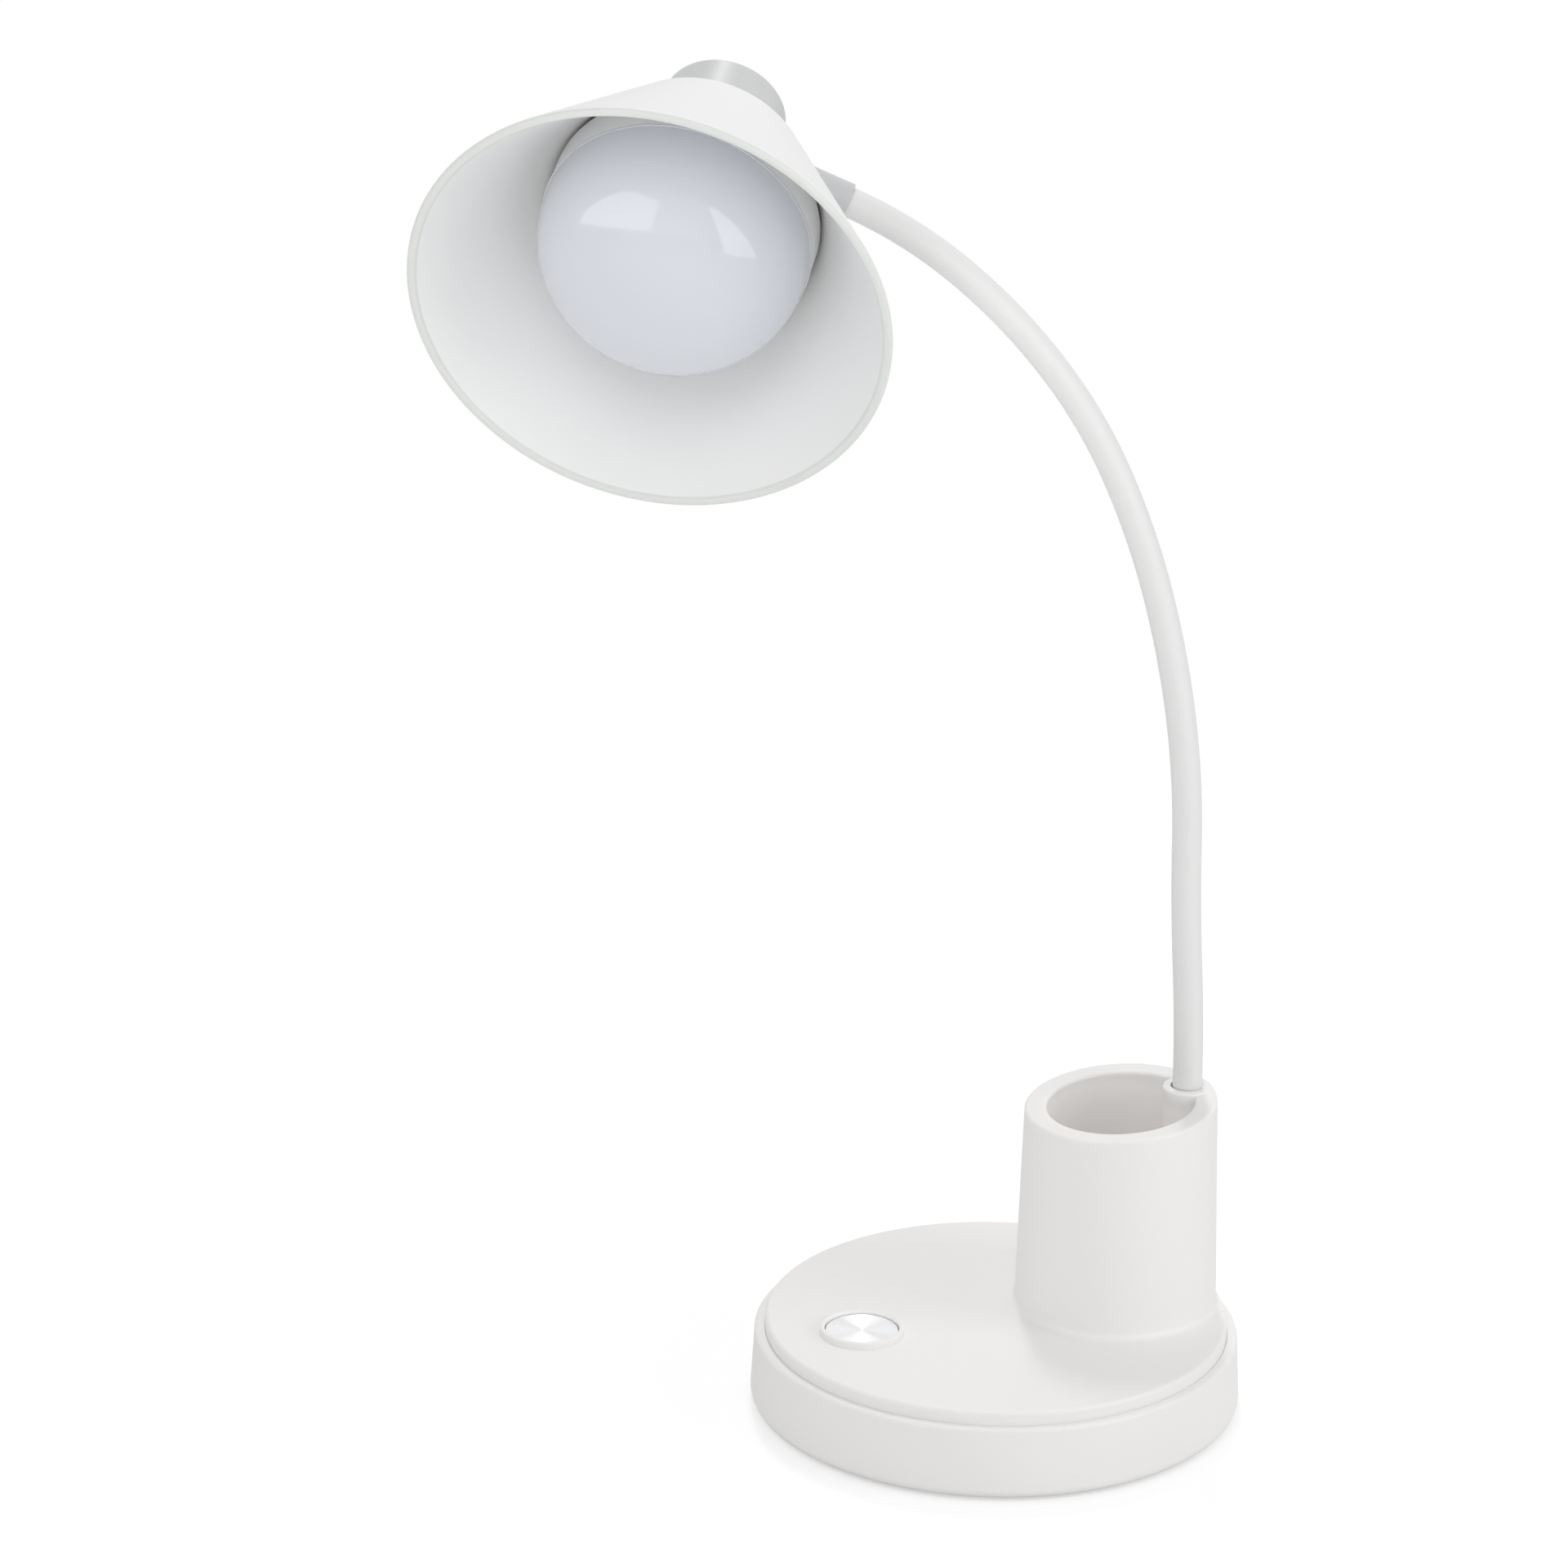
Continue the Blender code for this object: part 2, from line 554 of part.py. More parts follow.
def build_shell():
    """Make the lower shell with its screw towers, weight spigot, inlet slot and rails."""
    outline = [(0, RECESS_TOP), (PAD_RADIUS + GAP, RECESS_TOP), (PAD_RADIUS + GAP, SHELL_LIFT)]
    foot = (SHELL_RADIUS - SHELL_FOOT_FILLET, SHELL_LIFT + SHELL_FOOT_FILLET)
    outline += arc(foot, SHELL_FOOT_FILLET, -90, 0, 4)
    edge = (SHELL_TOP_RADIUS - SHELL_TOP_FILLET, SHELL_TOP - SHELL_TOP_FILLET)
    outline += arc(edge, SHELL_TOP_FILLET, 0, 90, 3)
    outline += [(SHELL_INNER_RADIUS, SHELL_TOP), (SHELL_INNER_RADIUS, FLOOR_TOP), (0, FLOOR_TOP)]
    shell = turned("lower_shell", outline, BASE_SIDES, WHITE)
    sunk = FLOOR_TOP - SHELL_FLOOR / 2
    adders = [rod("weight_spigot", WEIGHT_SPIGOT_RADIUS, sunk, WEIGHT_TOP, ROUND_SIDES)]
    cutters = []
    for index, place in enumerate(on_circle(BOSS_CIRCLE, BOSS_COUNT, BOSS_TURN), 1):
        shift = Matrix.Translation(place)
        tower = rod(f"tower_{index}", TOWER_RADIUS, sunk, TOWER_TOP, ROUND_SIDES)
        room = stepped_bore(f"screw_room_{index}", BASE_SCREW_RADIUS + GAP, TOWER_TOP + CUT_OVERRUN,
                            BASE_SCREW_HEAD_RADIUS + GAP, RECESS_TOP - CUT_OVERRUN,
                            RECESS_TOP + BASE_SCREW_HEAD_HEIGHT + 2 * GAP, STUD_SIDES)
        adders.append(moved(tower, shift))
        cutters.append(moved(room, shift))
    rail_x = (INLET_BOARD_WIDTH - INLET_RAIL_WIDTH) / 2
    rail_top = INLET_SEAT - INLET_BOARD_THICKNESS - 2 * GAP
    rail_back = inlet_board_back()
    for side, side_name in ((-1, "left"), (1, "right")):
        size = (INLET_RAIL_WIDTH, INLET_BOARD_DEPTH, rail_top - sunk)
        centre = (side * rail_x, rail_back - INLET_BOARD_DEPTH / 2, (rail_top + sunk) / 2)
        adders.append(block(f"inlet_rail_{side_name}", size, centre))
    cutters.append(inlet_prism("inlet_slot", INLET_WIDTH + 2 * INLET_MARGIN, INLET_HEIGHT + 2 * INLET_MARGIN,
                               SHELL_INNER_RADIUS - SHELL_WALL, SHELL_RADIUS + CUT_OVERRUN,
                               INLET_CENTRE_HEIGHT))
    combine(shell, [group("shell_adders", adders)], "UNION")
    combine(shell, [group("shell_cutters", cutters)], "DIFFERENCE")


def cup_radius(height):
    """Give the cup's outer radius at a height: it narrows evenly to the rim."""
    share = (height - COVER_TOP) / (CUP_RIM_HEIGHT - COVER_TOP)
    return CUP_FOOT_RADIUS + (CUP_RIM_RADIUS - CUP_FOOT_RADIUS) * share


def well_radius(height):
    """Give the well's radius at a height: it widens evenly to the rim."""
    share = (height - WELL_FLOOR_HEIGHT) / (CUP_RIM_HEIGHT - WELL_FLOOR_HEIGHT)
    return WELL_FOOT_RADIUS + (WELL_RADIUS - WELL_FOOT_RADIUS) * share


def rim_height(offset):
    """Give the height of the sloping rim at an offset from the cup's axis along Y."""
    return CUP_RIM_HEIGHT + offset * math.tan(CUP_RIM_SLOPE)


def cup_shapes():
    """Make the shapes that add the cup to the cover and hollow it out."""
    shift = Matrix.Translation((0, CUP_OFFSET, 0))
    high = rim_height(CUP_RIM_RADIUS) + CUT_OVERRUN
    foot_z = COVER_TOP + CUP_FOOT_FILLET - CUP_FILLET_SINK
    fillet = arc((cup_radius(foot_z) + CUP_FOOT_FILLET, foot_z), CUP_FOOT_FILLET, 270, 180, 3)
    sunk = COVER_TOP - COVER_WALL / 2
    outline = [(0, sunk), (fillet[0][0], sunk), *fillet, (CUP_RIM_RADIUS, CUP_RIM_HEIGHT),
               (0, CUP_RIM_HEIGHT)]
    body = turned("cup_body", outline, CUP_SIDES)
    for vert in body.data.vertices:
        if vert.co.z > CUP_RIM_HEIGHT - MERGE_DISTANCE:
            vert.co.z = rim_height(vert.co.y)
    moved(body, shift)
    edge = rod("cup_edge", COVER_RADIUS - CUP_EDGE_MARGIN, sunk - CUT_OVERRUN, high + CUT_OVERRUN, BASE_SIDES)
    combine(body, [edge], "INTERSECT")
    top = high + CUT_OVERRUN
    well = rod("well", WELL_RADIUS, WELL_FLOOR_HEIGHT, top, CUP_SIDES)
    for vert in well.data.vertices:
        scale = well_radius(vert.co.z) / WELL_RADIUS
        vert.co.x *= scale
        vert.co.y *= scale
    moved(well, shift)
    ceiling = rim_height(-CUP_RIM_RADIUS) - RIM_THICKNESS
    under_floor = WELL_FLOOR_HEIGHT - WELL_FLOOR_THICKNESS
    low = COVER_UNDER - CUT_OVERRUN
    core = [(0, low), (cup_radius(low) - CUP_OUTER_WALL, low),
            (cup_radius(ceiling) - CUP_OUTER_WALL, ceiling),
            (well_radius(ceiling) + WELL_WALL, ceiling),
            (WELL_FOOT_RADIUS + WELL_WALL, under_floor), (0, under_floor)]
    hollow = moved(turned("cup_hollow", core, CUP_SIDES), shift)
    return body, well, hollow


def build_cover():
    """Make the cover: plate, skirt, cup, post, key ring, screw bosses and board standoffs."""
    outline = [(SKIRT_INNER_RADIUS, COVER_UNDER - SKIRT_DEPTH), (COVER_RADIUS, COVER_UNDER - SKIRT_DEPTH)]
    edge = (COVER_RADIUS - COVER_EDGE_FILLET, COVER_TOP - COVER_EDGE_FILLET)
    outline += arc(edge, COVER_EDGE_FILLET, 0, 90, 3)
    outline += [(0, COVER_TOP), (0, COVER_UNDER), (SKIRT_INNER_RADIUS, COVER_UNDER)]
    cover = turned("cup_cover", outline, BASE_SIDES, WHITE)

    body, well, hollow = cup_shapes()
    combine(cover, [body], "UNION")
    combine(cover, [well, hollow], "DIFFERENCE")

    to_post = Matrix.Translation((0, POST_OFFSET, 0))
    to_key = Matrix.Translation((0, -KEY_OFFSET, 0))
    sunk = COVER_UNDER + COVER_WALL / 2
    adders = [moved(rod("post", POST_RADIUS, COVER_UNDER - GAP, POST_TOP, POST_SIDES), to_post),
              moved(rod("key_ring", KEY_RING_RADIUS, sunk, COVER_TOP + KEY_RING_HEIGHT, KEY_SIDES), to_key)]
    cutters = [moved(stepped_bore("post_bore", STEM_RADIUS + GAP, COVER_UNDER - CUT_OVERRUN,
                                  POST_SOCKET_RADIUS, POST_TOP + CUT_OVERRUN,
                                  POST_TOP - POST_SOCKET_DEPTH, POST_SIDES), to_post),
               moved(rod("key_hole", KEY_HOLE_RADIUS, COVER_UNDER - CUT_OVERRUN,
                         COVER_TOP + KEY_RING_HEIGHT + CUT_OVERRUN, KEY_SIDES), to_key)]
    for index, place in enumerate(on_circle(BOSS_CIRCLE, BOSS_COUNT, BOSS_TURN), 1):
        shift = Matrix.Translation(place)
        boss_low = TOWER_TOP + GAP
        adders.append(moved(rod(f"boss_{index}", BOSS_RADIUS, boss_low, sunk, ROUND_SIDES), shift))
        cutters.append(moved(rod(f"boss_bore_{index}", BASE_SCREW_RADIUS + GAP, boss_low - CUT_OVERRUN,
                                 COVER_UNDER - BOSS_RADIUS, BORE_SIDES), shift))
    for side, side_name in ((-1, "left"), (1, "right")):
        shift = Matrix.Translation((side * STANDOFF_SPREAD, -STANDOFF_OFFSET, 0))
        standoff = rod(f"standoff_{side_name}", STANDOFF_RADIUS, BOARD_TOP + GAP, sunk, STUD_SIDES)
        bore = rod(f"standoff_bore_{side_name}", BOARD_SCREW_RADIUS + GAP, BOARD_TOP - CUT_OVERRUN,
                   COVER_UNDER, BORE_SIDES)
        adders.append(moved(standoff, shift))
        cutters.append(moved(bore, shift))
    combine(cover, [group("cover_adders", adders)], "UNION")
    combine(cover, [group("cover_cutters", cutters)], "DIFFERENCE")


def build_base_screws():
    """Make the screws that pull the cover down onto the shell's towers."""
    seat = RECESS_TOP + BASE_SCREW_HEAD_HEIGHT + GAP
    for index, place in enumerate(on_circle(BOSS_CIRCLE, BOSS_COUNT, BOSS_TURN), 1):
        piece = screw(f"base_screw_{index}", BASE_SCREW_RADIUS, BASE_SCREW_LENGTH,
                      BASE_SCREW_HEAD_RADIUS, BASE_SCREW_HEAD_HEIGHT, STEEL)
        piece.location = (place.x, place.y, seat)


def build_board():
    """Make the control board with its switch, capacitor, chip, connectors and screws."""
    size = (BOARD_WIDTH, BOARD_DEPTH, BOARD_THICKNESS)
    centre = (0, -BOARD_OFFSET, BOARD_TOP - BOARD_THICKNESS / 2)
    board = block("control_board", size, centre, BOARD_GREEN)
    bores = []
    for side, side_name in ((-1, "left"), (1, "right")):
        shift = Matrix.Translation((side * STANDOFF_SPREAD, -STANDOFF_OFFSET, 0))
        bore = rod(f"board_bore_{side_name}", BOARD_SCREW_RADIUS + GAP, BOARD_UNDER - CUT_OVERRUN,
                   BOARD_TOP + CUT_OVERRUN, BORE_SIDES)
        bores.append(moved(bore, shift))
        piece = screw(f"board_screw_{side_name}", BOARD_SCREW_RADIUS, BOARD_SCREW_LENGTH,
                      BOARD_SCREW_HEAD_RADIUS, BOARD_SCREW_HEAD_HEIGHT, STEEL)
        piece.location = (side * STANDOFF_SPREAD, -STANDOFF_OFFSET, BOARD_UNDER - GAP)
    combine(board, [group("board_bores", bores)], "DIFFERENCE")

    switch = block("switch_body", (SWITCH_WIDTH, SWITCH_WIDTH, SWITCH_HEIGHT),
                   (0, -KEY_OFFSET, PART_SEAT + SWITCH_HEIGHT / 2), BLACK_PLASTIC)
    well = rod("switch_well", SWITCH_BORE, PART_SEAT + SWITCH_FLOOR, SWITCH_TOP + CUT_OVERRUN, STUD_SIDES)
    combine(switch, [moved(well, Matrix.Translation((0, -KEY_OFFSET, 0)))], "DIFFERENCE")

    capacitor = rod("capacitor", CAPACITOR_RADIUS, PART_SEAT, PART_SEAT + CAPACITOR_HEIGHT, ROUND_SIDES,
                    BLACK_PLASTIC)
    capacitor.location = (CAPACITOR_X, CAPACITOR_Y, 0)
    block("driver_chip", (CHIP_WIDTH, CHIP_DEPTH, CHIP_HEIGHT),
          (CHIP_X, -BOARD_OFFSET, PART_SEAT + CHIP_HEIGHT / 2), BLACK_PLASTIC)
    for name, x in (("lamp_connector", LAMP_CONNECTOR_X), ("supply_connector", SUPPLY_CONNECTOR_X)):
        block(name, (CONNECTOR_WIDTH, CONNECTOR_DEPTH, CONNECTOR_HEIGHT),
              (x, CONNECTOR_Y, PART_SEAT + CONNECTOR_HEIGHT / 2), WHITE)


def build_key():
    """Make the key: spun disc, cap with its retaining flange, and the switch plunger under it."""
    pivot = empty_at("key_axis", Matrix.Translation((0, -KEY_OFFSET, KEY_TOP)))
    down = Matrix.Translation((0, 0, -KEY_TOP))
    disc = rod("key_disc", KEY_RADIUS, KEY_TOP - KEY_DISC_THICKNESS, KEY_TOP, KEY_SIDES, SPUN_ALUMINIUM)
    flange_low = KEY_FLANGE_TOP - KEY_FLANGE_THICKNESS
    inner = KEY_RADIUS - KEY_SHELL
    roof = KEY_CAP_TOP - KEY_SHELL
    outline = [(0, KEY_CAP_TOP), (0, PLUNGER_TOP + GAP), (KEY_STEM_RADIUS, PLUNGER_TOP + GAP),
               (KEY_STEM_RADIUS, roof), (inner, roof), (inner, flange_low), (KEY_FLANGE_RADIUS, flange_low),
               (KEY_FLANGE_RADIUS, KEY_FLANGE_TOP), (KEY_RADIUS, KEY_FLANGE_TOP), (KEY_RADIUS, KEY_CAP_TOP)]
    cap = turned("key_cap", outline, KEY_SIDES, WHITE)
    plunger_low = PART_SEAT + SWITCH_FLOOR + KEY_TRAVEL + GAP
    plunger = rod("switch_plunger", SWITCH_PLUNGER_RADIUS, plunger_low, PLUNGER_TOP, STUD_SIDES, WHITE)
    seated([moved(piece, down) for piece in (disc, cap, plunger)], pivot)


def build_inlet():
    """Make the power inlet and its small board, seated on the shell's rails."""
    mouth = SHELL_TOP_RADIUS - INLET_SETBACK
    back = mouth - INLET_DEPTH
    shell = inlet_prism("inlet_socket", INLET_WIDTH, INLET_HEIGHT, back, mouth, INLET_CENTRE_HEIGHT, STEEL)
    room = inlet_prism("inlet_room", INLET_WIDTH - 2 * INLET_SHELL, INLET_HEIGHT - 2 * INLET_SHELL,
                       back + INLET_SHELL, mouth + CUT_OVERRUN, INLET_CENTRE_HEIGHT)
    tongue_width = INLET_WIDTH - INLET_HEIGHT
    tongue = block("inlet_tongue", (tongue_width, INLET_DEPTH - INLET_TONGUE, INLET_TONGUE),
                   (0, back + (INLET_DEPTH - INLET_TONGUE) / 2, INLET_CENTRE_HEIGHT))
    combine(shell, [room], "DIFFERENCE")
    combine(shell, [tongue], "UNION")
    board_back = inlet_board_back()
    block("inlet_board", (INLET_BOARD_WIDTH, INLET_BOARD_DEPTH, INLET_BOARD_THICKNESS),
          (0, board_back - INLET_BOARD_DEPTH / 2, INLET_SEAT - GAP - INLET_BOARD_THICKNESS / 2), BOARD_GREEN)


def build_base_leads():
    """Run the lamp's lead to the arm's stem and the supply lead to the inlet's board."""
    connector_side = CONNECTOR_Y + CONNECTOR_DEPTH / 2 + GAP
    plug_height = PART_SEAT + CONNECTOR_HEIGHT / 2
    run_height = WEIGHT_TOP + 2 * LEAD_RADIUS
    bend = 4 * LEAD_RADIUS
    lamp_x = LAMP_CONNECTOR_X
    lead("lamp_lead", [(lamp_x, connector_side, plug_height), (lamp_x, connector_side + bend, plug_height),
                       (lamp_x, 0, run_height), (lamp_x / 2, CUP_OFFSET, run_height),
                       (0, POST_OFFSET - bend, run_height),
                       (0, POST_OFFSET, run_height),
                       (0, POST_OFFSET, STEM_LOW_END - GAP)])
    supply_x = SUPPLY_CONNECTOR_X
    end_x = -(INLET_BOARD_WIDTH / 2 - INLET_RAIL_WIDTH)
    board_front = inlet_board_back() - INLET_BOARD_DEPTH
    lead("supply_lead", [(supply_x, connector_side, plug_height),
                         (supply_x, connector_side + bend, plug_height),
                         (-supply_x, 0, run_height), (-2 * supply_x, CUP_OFFSET, run_height),
                         (end_x - bend, WEIGHT_RADIUS - bend, run_height),
                         (end_x, board_front + bend, INLET_SEAT + LEAD_RADIUS)])


def build_arm_anchor():
    """Make the threaded stem in the post, with its washer and nut under the cover."""
    stem_high = POST_TOP - POST_SOCKET_DEPTH
    stem = ring("arm_stem", STEM_RADIUS, STEM_BORE, STEM_LOW_END, stem_high, ROUND_SIDES, STEEL)
    washer_high = COVER_UNDER - 2 * GAP
    washer = ring("arm_washer", WASHER_RADIUS, STEM_RADIUS + GAP, washer_high - WASHER_THICKNESS,
                  washer_high, BOSS_SIDES, STEEL)
    nut_high = washer_high - WASHER_THICKNESS - GAP
    nut = rod("arm_nut", NUT_RADIUS, nut_high - NUT_HEIGHT, nut_high, NUT_SIDES, STEEL)
    nut_bore = rod("nut_bore", STEM_RADIUS + GAP, nut_high - NUT_HEIGHT - CUT_OVERRUN,
                   nut_high + CUT_OVERRUN, ROUND_SIDES)
    combine(nut, [nut_bore], "DIFFERENCE")
    for piece in (stem, washer, nut, nut_bore):
        piece.location = (0, POST_OFFSET, 0)


def arc_frame(length, turn, along):
    """Give the frame at a distance along a link that curves evenly towards +X."""
    if turn == 0:
        return Matrix.Translation((0, 0, along))
    radius = length / turn
    angle = along / radius
    place = Matrix.Translation((radius * (1 - math.cos(angle)), 0, radius * math.sin(angle)))
    return place @ Matrix.Rotation(angle, 4, "Y")


def bent(shape, length, turn):
    """Curve the stretch from z = 0 to the length, and carry the ends along rigidly."""
    for vert in shape.data.vertices:
        along = min(max(vert.co.z, 0), length)
        vert.co = arc_frame(length, turn, along) @ Vector((vert.co.x, vert.co.y, vert.co.z - along))
    return shape


def link_frames():
    """List the frames of the links' lower ends and of the arm's far end, in the world.

    Each has +Z along the arm, +X the way that it bends and +Y across its plane.
    """
    frame = Matrix.Translation((0, POST_OFFSET, POST_TOP))
    frame = frame @ Matrix.Rotation(-math.pi / 2 - ARM_PLANE_TURN, 4, "Z")
    frames = [frame]
    for turn in LINK_TURNS:
        frame = frame @ arc_frame(LINK_LENGTH, turn, LINK_LENGTH)
        frames.append(frame)
    return frames


def sphere_height(radius, distance):
    """Give the height of a sphere's surface at a distance from its axis."""
    return math.sqrt(radius ** 2 - distance ** 2)


def link_end_points(inner, outer, foot, tip):
    """List the (radius, height) points of a link's lower and upper ends, from inside to outside.

    An end with no flat height is part of a joint: the lower one is a socket about z = 0, and the
    upper one is a ball about z = LINK_LENGTH.
    """
    radii = [inner, (inner + outer) / 2, outer]
    if foot is None:
        lower = [(radius, sphere_height(SOCKET_RADIUS, radius)) for radius in radii]
    else:
        lower = [(inner, foot), (outer, foot)]
    if tip is None:
        upper = [(radius, LINK_LENGTH + sphere_height(ARM_RADIUS, radius)) for radius in radii]
    else:
        upper = [(inner, tip), (outer, tip)]
    return lower, upper


def link_solid(name, inner, outer, foot, tip, sides, turn, finish):
    """Make one link of the sleeve or of the core."""
    lower, upper = link_end_points(inner, outer, foot, tip)
    rings = [LINK_LENGTH * share for share in LINK_RING_SHARES]
    outline = lower + [(outer, height) for height in rings] + upper[::-1]
    if inner > 0:
        outline += [(inner, height) for height in reversed(rings)]
    return bent(turned(name, outline, sides, finish), LINK_LENGTH, turn)


def build_arm():
    """Make the arm's links, each a sleeve on a core, chained by empties at their joints."""
    frames = link_frames()
    parent = None
    last = len(LINK_TURNS) - 1
    for index, turn in enumerate(LINK_TURNS):
        foot = GAP - POST_SOCKET_DEPTH if index == 0 else None
        tip = LINK_LENGTH + FERRULE_GRIP - GAP if index == last else None
        parent = empty_at(f"arm_joint_{index}", frames[index], parent)
        sleeve = link_solid(f"arm_sleeve_{index}", SLEEVE_BORE, ARM_RADIUS, foot, tip,
                            SLEEVE_SIDES, turn, WHITE)
        core = link_solid(f"gooseneck_core_{index}", 0, ARM_CORE_RADIUS, foot, tip,
                          CORE_SIDES, turn, CORE_STEEL)
        seated([sleeve, core], parent)
    return frames[-1], parent


def head_frame(arm_end):
    """Give the head's frame: centred where the ferrule's line meets the shade's axis."""
    centre = arm_end @ Matrix.Translation((0, 0, FERRULE_REACH))
    onward = centre.to_3x3() @ Vector((0, 0, 1))
    opening = centre.to_3x3() @ Vector((math.cos(HEAD_TWIST), math.sin(HEAD_TWIST), 0))
    across = opening.cross(onward)
    turn = Matrix((onward, across, opening)).transposed()
    return Matrix.Translation(centre.translation) @ turn.to_4x4()


def build_ferrule(head, parent):
    """Make the ferrule on the arm's end and the nut that keeps the head on its spigot."""
    along_x = Matrix.Rotation(math.pi / 2, 4, "Y")
    shoulder = -SWIVEL_BOSS_REACH - GAP
    bore = FERRULE_BORE
    outline = [(bore, -FERRULE_REACH), (FERRULE_RADIUS, -FERRULE_REACH), (FERRULE_RADIUS, shoulder),
               (SPIGOT_RADIUS, shoulder), (SPIGOT_RADIUS, -SPIGOT_REACH), (STEM_BORE, -SPIGOT_REACH),
               (STEM_BORE, FERRULE_GRIP - FERRULE_REACH), (bore, FERRULE_GRIP - FERRULE_REACH)]
    ferrule = turned("ferrule", outline, FERRULE_SIDES, PALE_GREY)
    face = -sphere_height(NECK_RADIUS - NECK_WALL, SWIVEL_NUT_RADIUS) + GAP
    nut = ring("swivel_nut", SWIVEL_NUT_RADIUS, SPIGOT_RADIUS + GAP, face, face + SWIVEL_NUT_THICKNESS,
               FERRULE_SIDES, STEEL)
    place = parent.matrix_world.inverted() @ head @ along_x
    seated([moved(piece, place) for piece in (ferrule, nut)], parent)


def build_neck():
    """Make the neck with its swivel boss and the posts that the head's screws bite."""
    front = SHADE_BACK - GAP
    inner = NECK_RADIUS - NECK_WALL
    floor = NECK_BACK + NECK_WALL
    edge = (NECK_RADIUS - NECK_FILLET, NECK_BACK + NECK_FILLET)
    outline = [(0, NECK_BACK), *arc(edge, NECK_FILLET, -90, 0, 3), (NECK_RADIUS, front), (inner, front),
               (inner, floor), (0, floor)]
    neck = turned("neck", outline, NECK_SIDES, PALE_GREY)
    along_x = Matrix.Rotation(math.pi / 2, 4, "Y")
    boss_start = -SWIVEL_BOSS_REACH
    boss = rod("swivel_boss", SWIVEL_BOSS_RADIUS, boss_start, -inner - GAP, BOSS_SIDES)
    bore = rod("swivel_bore", SPIGOT_RADIUS + GAP, boss_start - CUT_OVERRUN, -inner + CUT_OVERRUN, BOSS_SIDES)
    clear = rod("neck_room", inner, floor, front + CUT_OVERRUN, NECK_SIDES)
    combine(neck, [moved(boss, along_x)], "UNION")
    combine(neck, [clear, moved(bore, along_x)], "DIFFERENCE")
    posts, bores = [], []
    for index, place in enumerate(on_circle(NECK_POST_CIRCLE, NECK_POST_COUNT, 0), 1):
        shift = Matrix.Translation(place)
        low = front - NECK_POST_LENGTH
        posts.append(moved(rod(f"neck_post_{index}", NECK_POST_RADIUS, low, front - GAP, STUD_SIDES), shift))
        bores.append(moved(rod(f"neck_post_bore_{index}", HEAD_SCREW_RADIUS + GAP, low + HEAD_SCREW_RADIUS,
                               front + CUT_OVERRUN, BORE_SIDES), shift))
    combine(neck, [group("neck_posts", posts)], "UNION")
    combine(neck, [group("neck_bores", bores)], "DIFFERENCE")
    return neck


def screw_bores(prefix, low, high):
    """Make the cutter for the head screws between two heights."""
    bores = []
    for index, place in enumerate(on_circle(NECK_POST_CIRCLE, NECK_POST_COUNT, 0), 1):
        bore = rod(f"{prefix}_{index}", HEAD_SCREW_RADIUS + GAP, low, high, BORE_SIDES)
        bores.append(moved(bore, Matrix.Translation(place)))
    return group(prefix, bores)


def shade_inner_radius(height):
    """Give the shade's inner radius at a height on its axis."""
    return SHADE_RIM_INNER_RADIUS - SHADE_SLOPE * (SHADE_RIM - height)


def build_shade():
    """Make the cone shade with its flat back wall."""
    corner = SHADE_BACK_FILLET
    outline = [(SHADE_HOLE_RADIUS, SHADE_BACK), (SHADE_BACK_RADIUS - corner, SHADE_BACK),
               (SHADE_BACK_RADIUS + corner * SHADE_SLOPE / 4, SHADE_BACK + corner / 4),
               (SHADE_BACK_RADIUS + corner * SHADE_SLOPE, SHADE_BACK + corner),
               (SHADE_RIM_RADIUS, SHADE_RIM), (SHADE_RIM_INNER_RADIUS, SHADE_RIM),
               (shade_inner_radius(SHADE_FLOOR), SHADE_FLOOR), (SHADE_HOLE_RADIUS, SHADE_FLOOR)]
    shade = turned("shade", outline, SHADE_SIDES, WHITE)
    bores = screw_bores("shade_bores", SHADE_BACK - CUT_OVERRUN, SHADE_FLOOR + CUT_OVERRUN)
    return combine(shade, [bores], "DIFFERENCE")


def housing_radius(height):
    """Give the lamp housing's outer radius: it lines the shade, then runs straight."""
    return min(HOUSING_RADIUS, LINING_RIM_RADIUS - SHADE_SLOPE * (SHADE_RIM - height))


def build_housing():
    """Make the lamp housing, a cup that lines the back of the shade."""
    floor = HOUSING_BACK + HOUSING_WALL
    mouth = HOUSING_MOUTH_RADIUS
    seat_low = LED_SEAT - LED_SEAT_THICKNESS
    outline = [(SHADE_HOLE_RADIUS, HOUSING_BACK), (housing_radius(HOUSING_BACK), HOUSING_BACK),
               (HOUSING_RADIUS, HOUSING_BEND), (HOUSING_RADIUS, HOUSING_FRONT), (mouth, HOUSING_FRONT),
               (mouth, LED_SEAT), (mouth - LED_SEAT_WIDTH, LED_SEAT), (mouth - LED_SEAT_WIDTH, seat_low),
               (mouth, seat_low), (mouth, HOUSING_BEND + HOUSING_WALL / 2),
               (housing_radius(floor) - HOUSING_WALL / SHADE_SLOPE, floor), (SHADE_HOLE_RADIUS, floor)]
    housing = turned("lamp_housing", outline, DOME_SIDES, WHITE)
    bores = screw_bores("housing_bores", HOUSING_BACK - CUT_OVERRUN, floor + CUT_OVERRUN)
    return combine(housing, [bores], "DIFFERENCE")


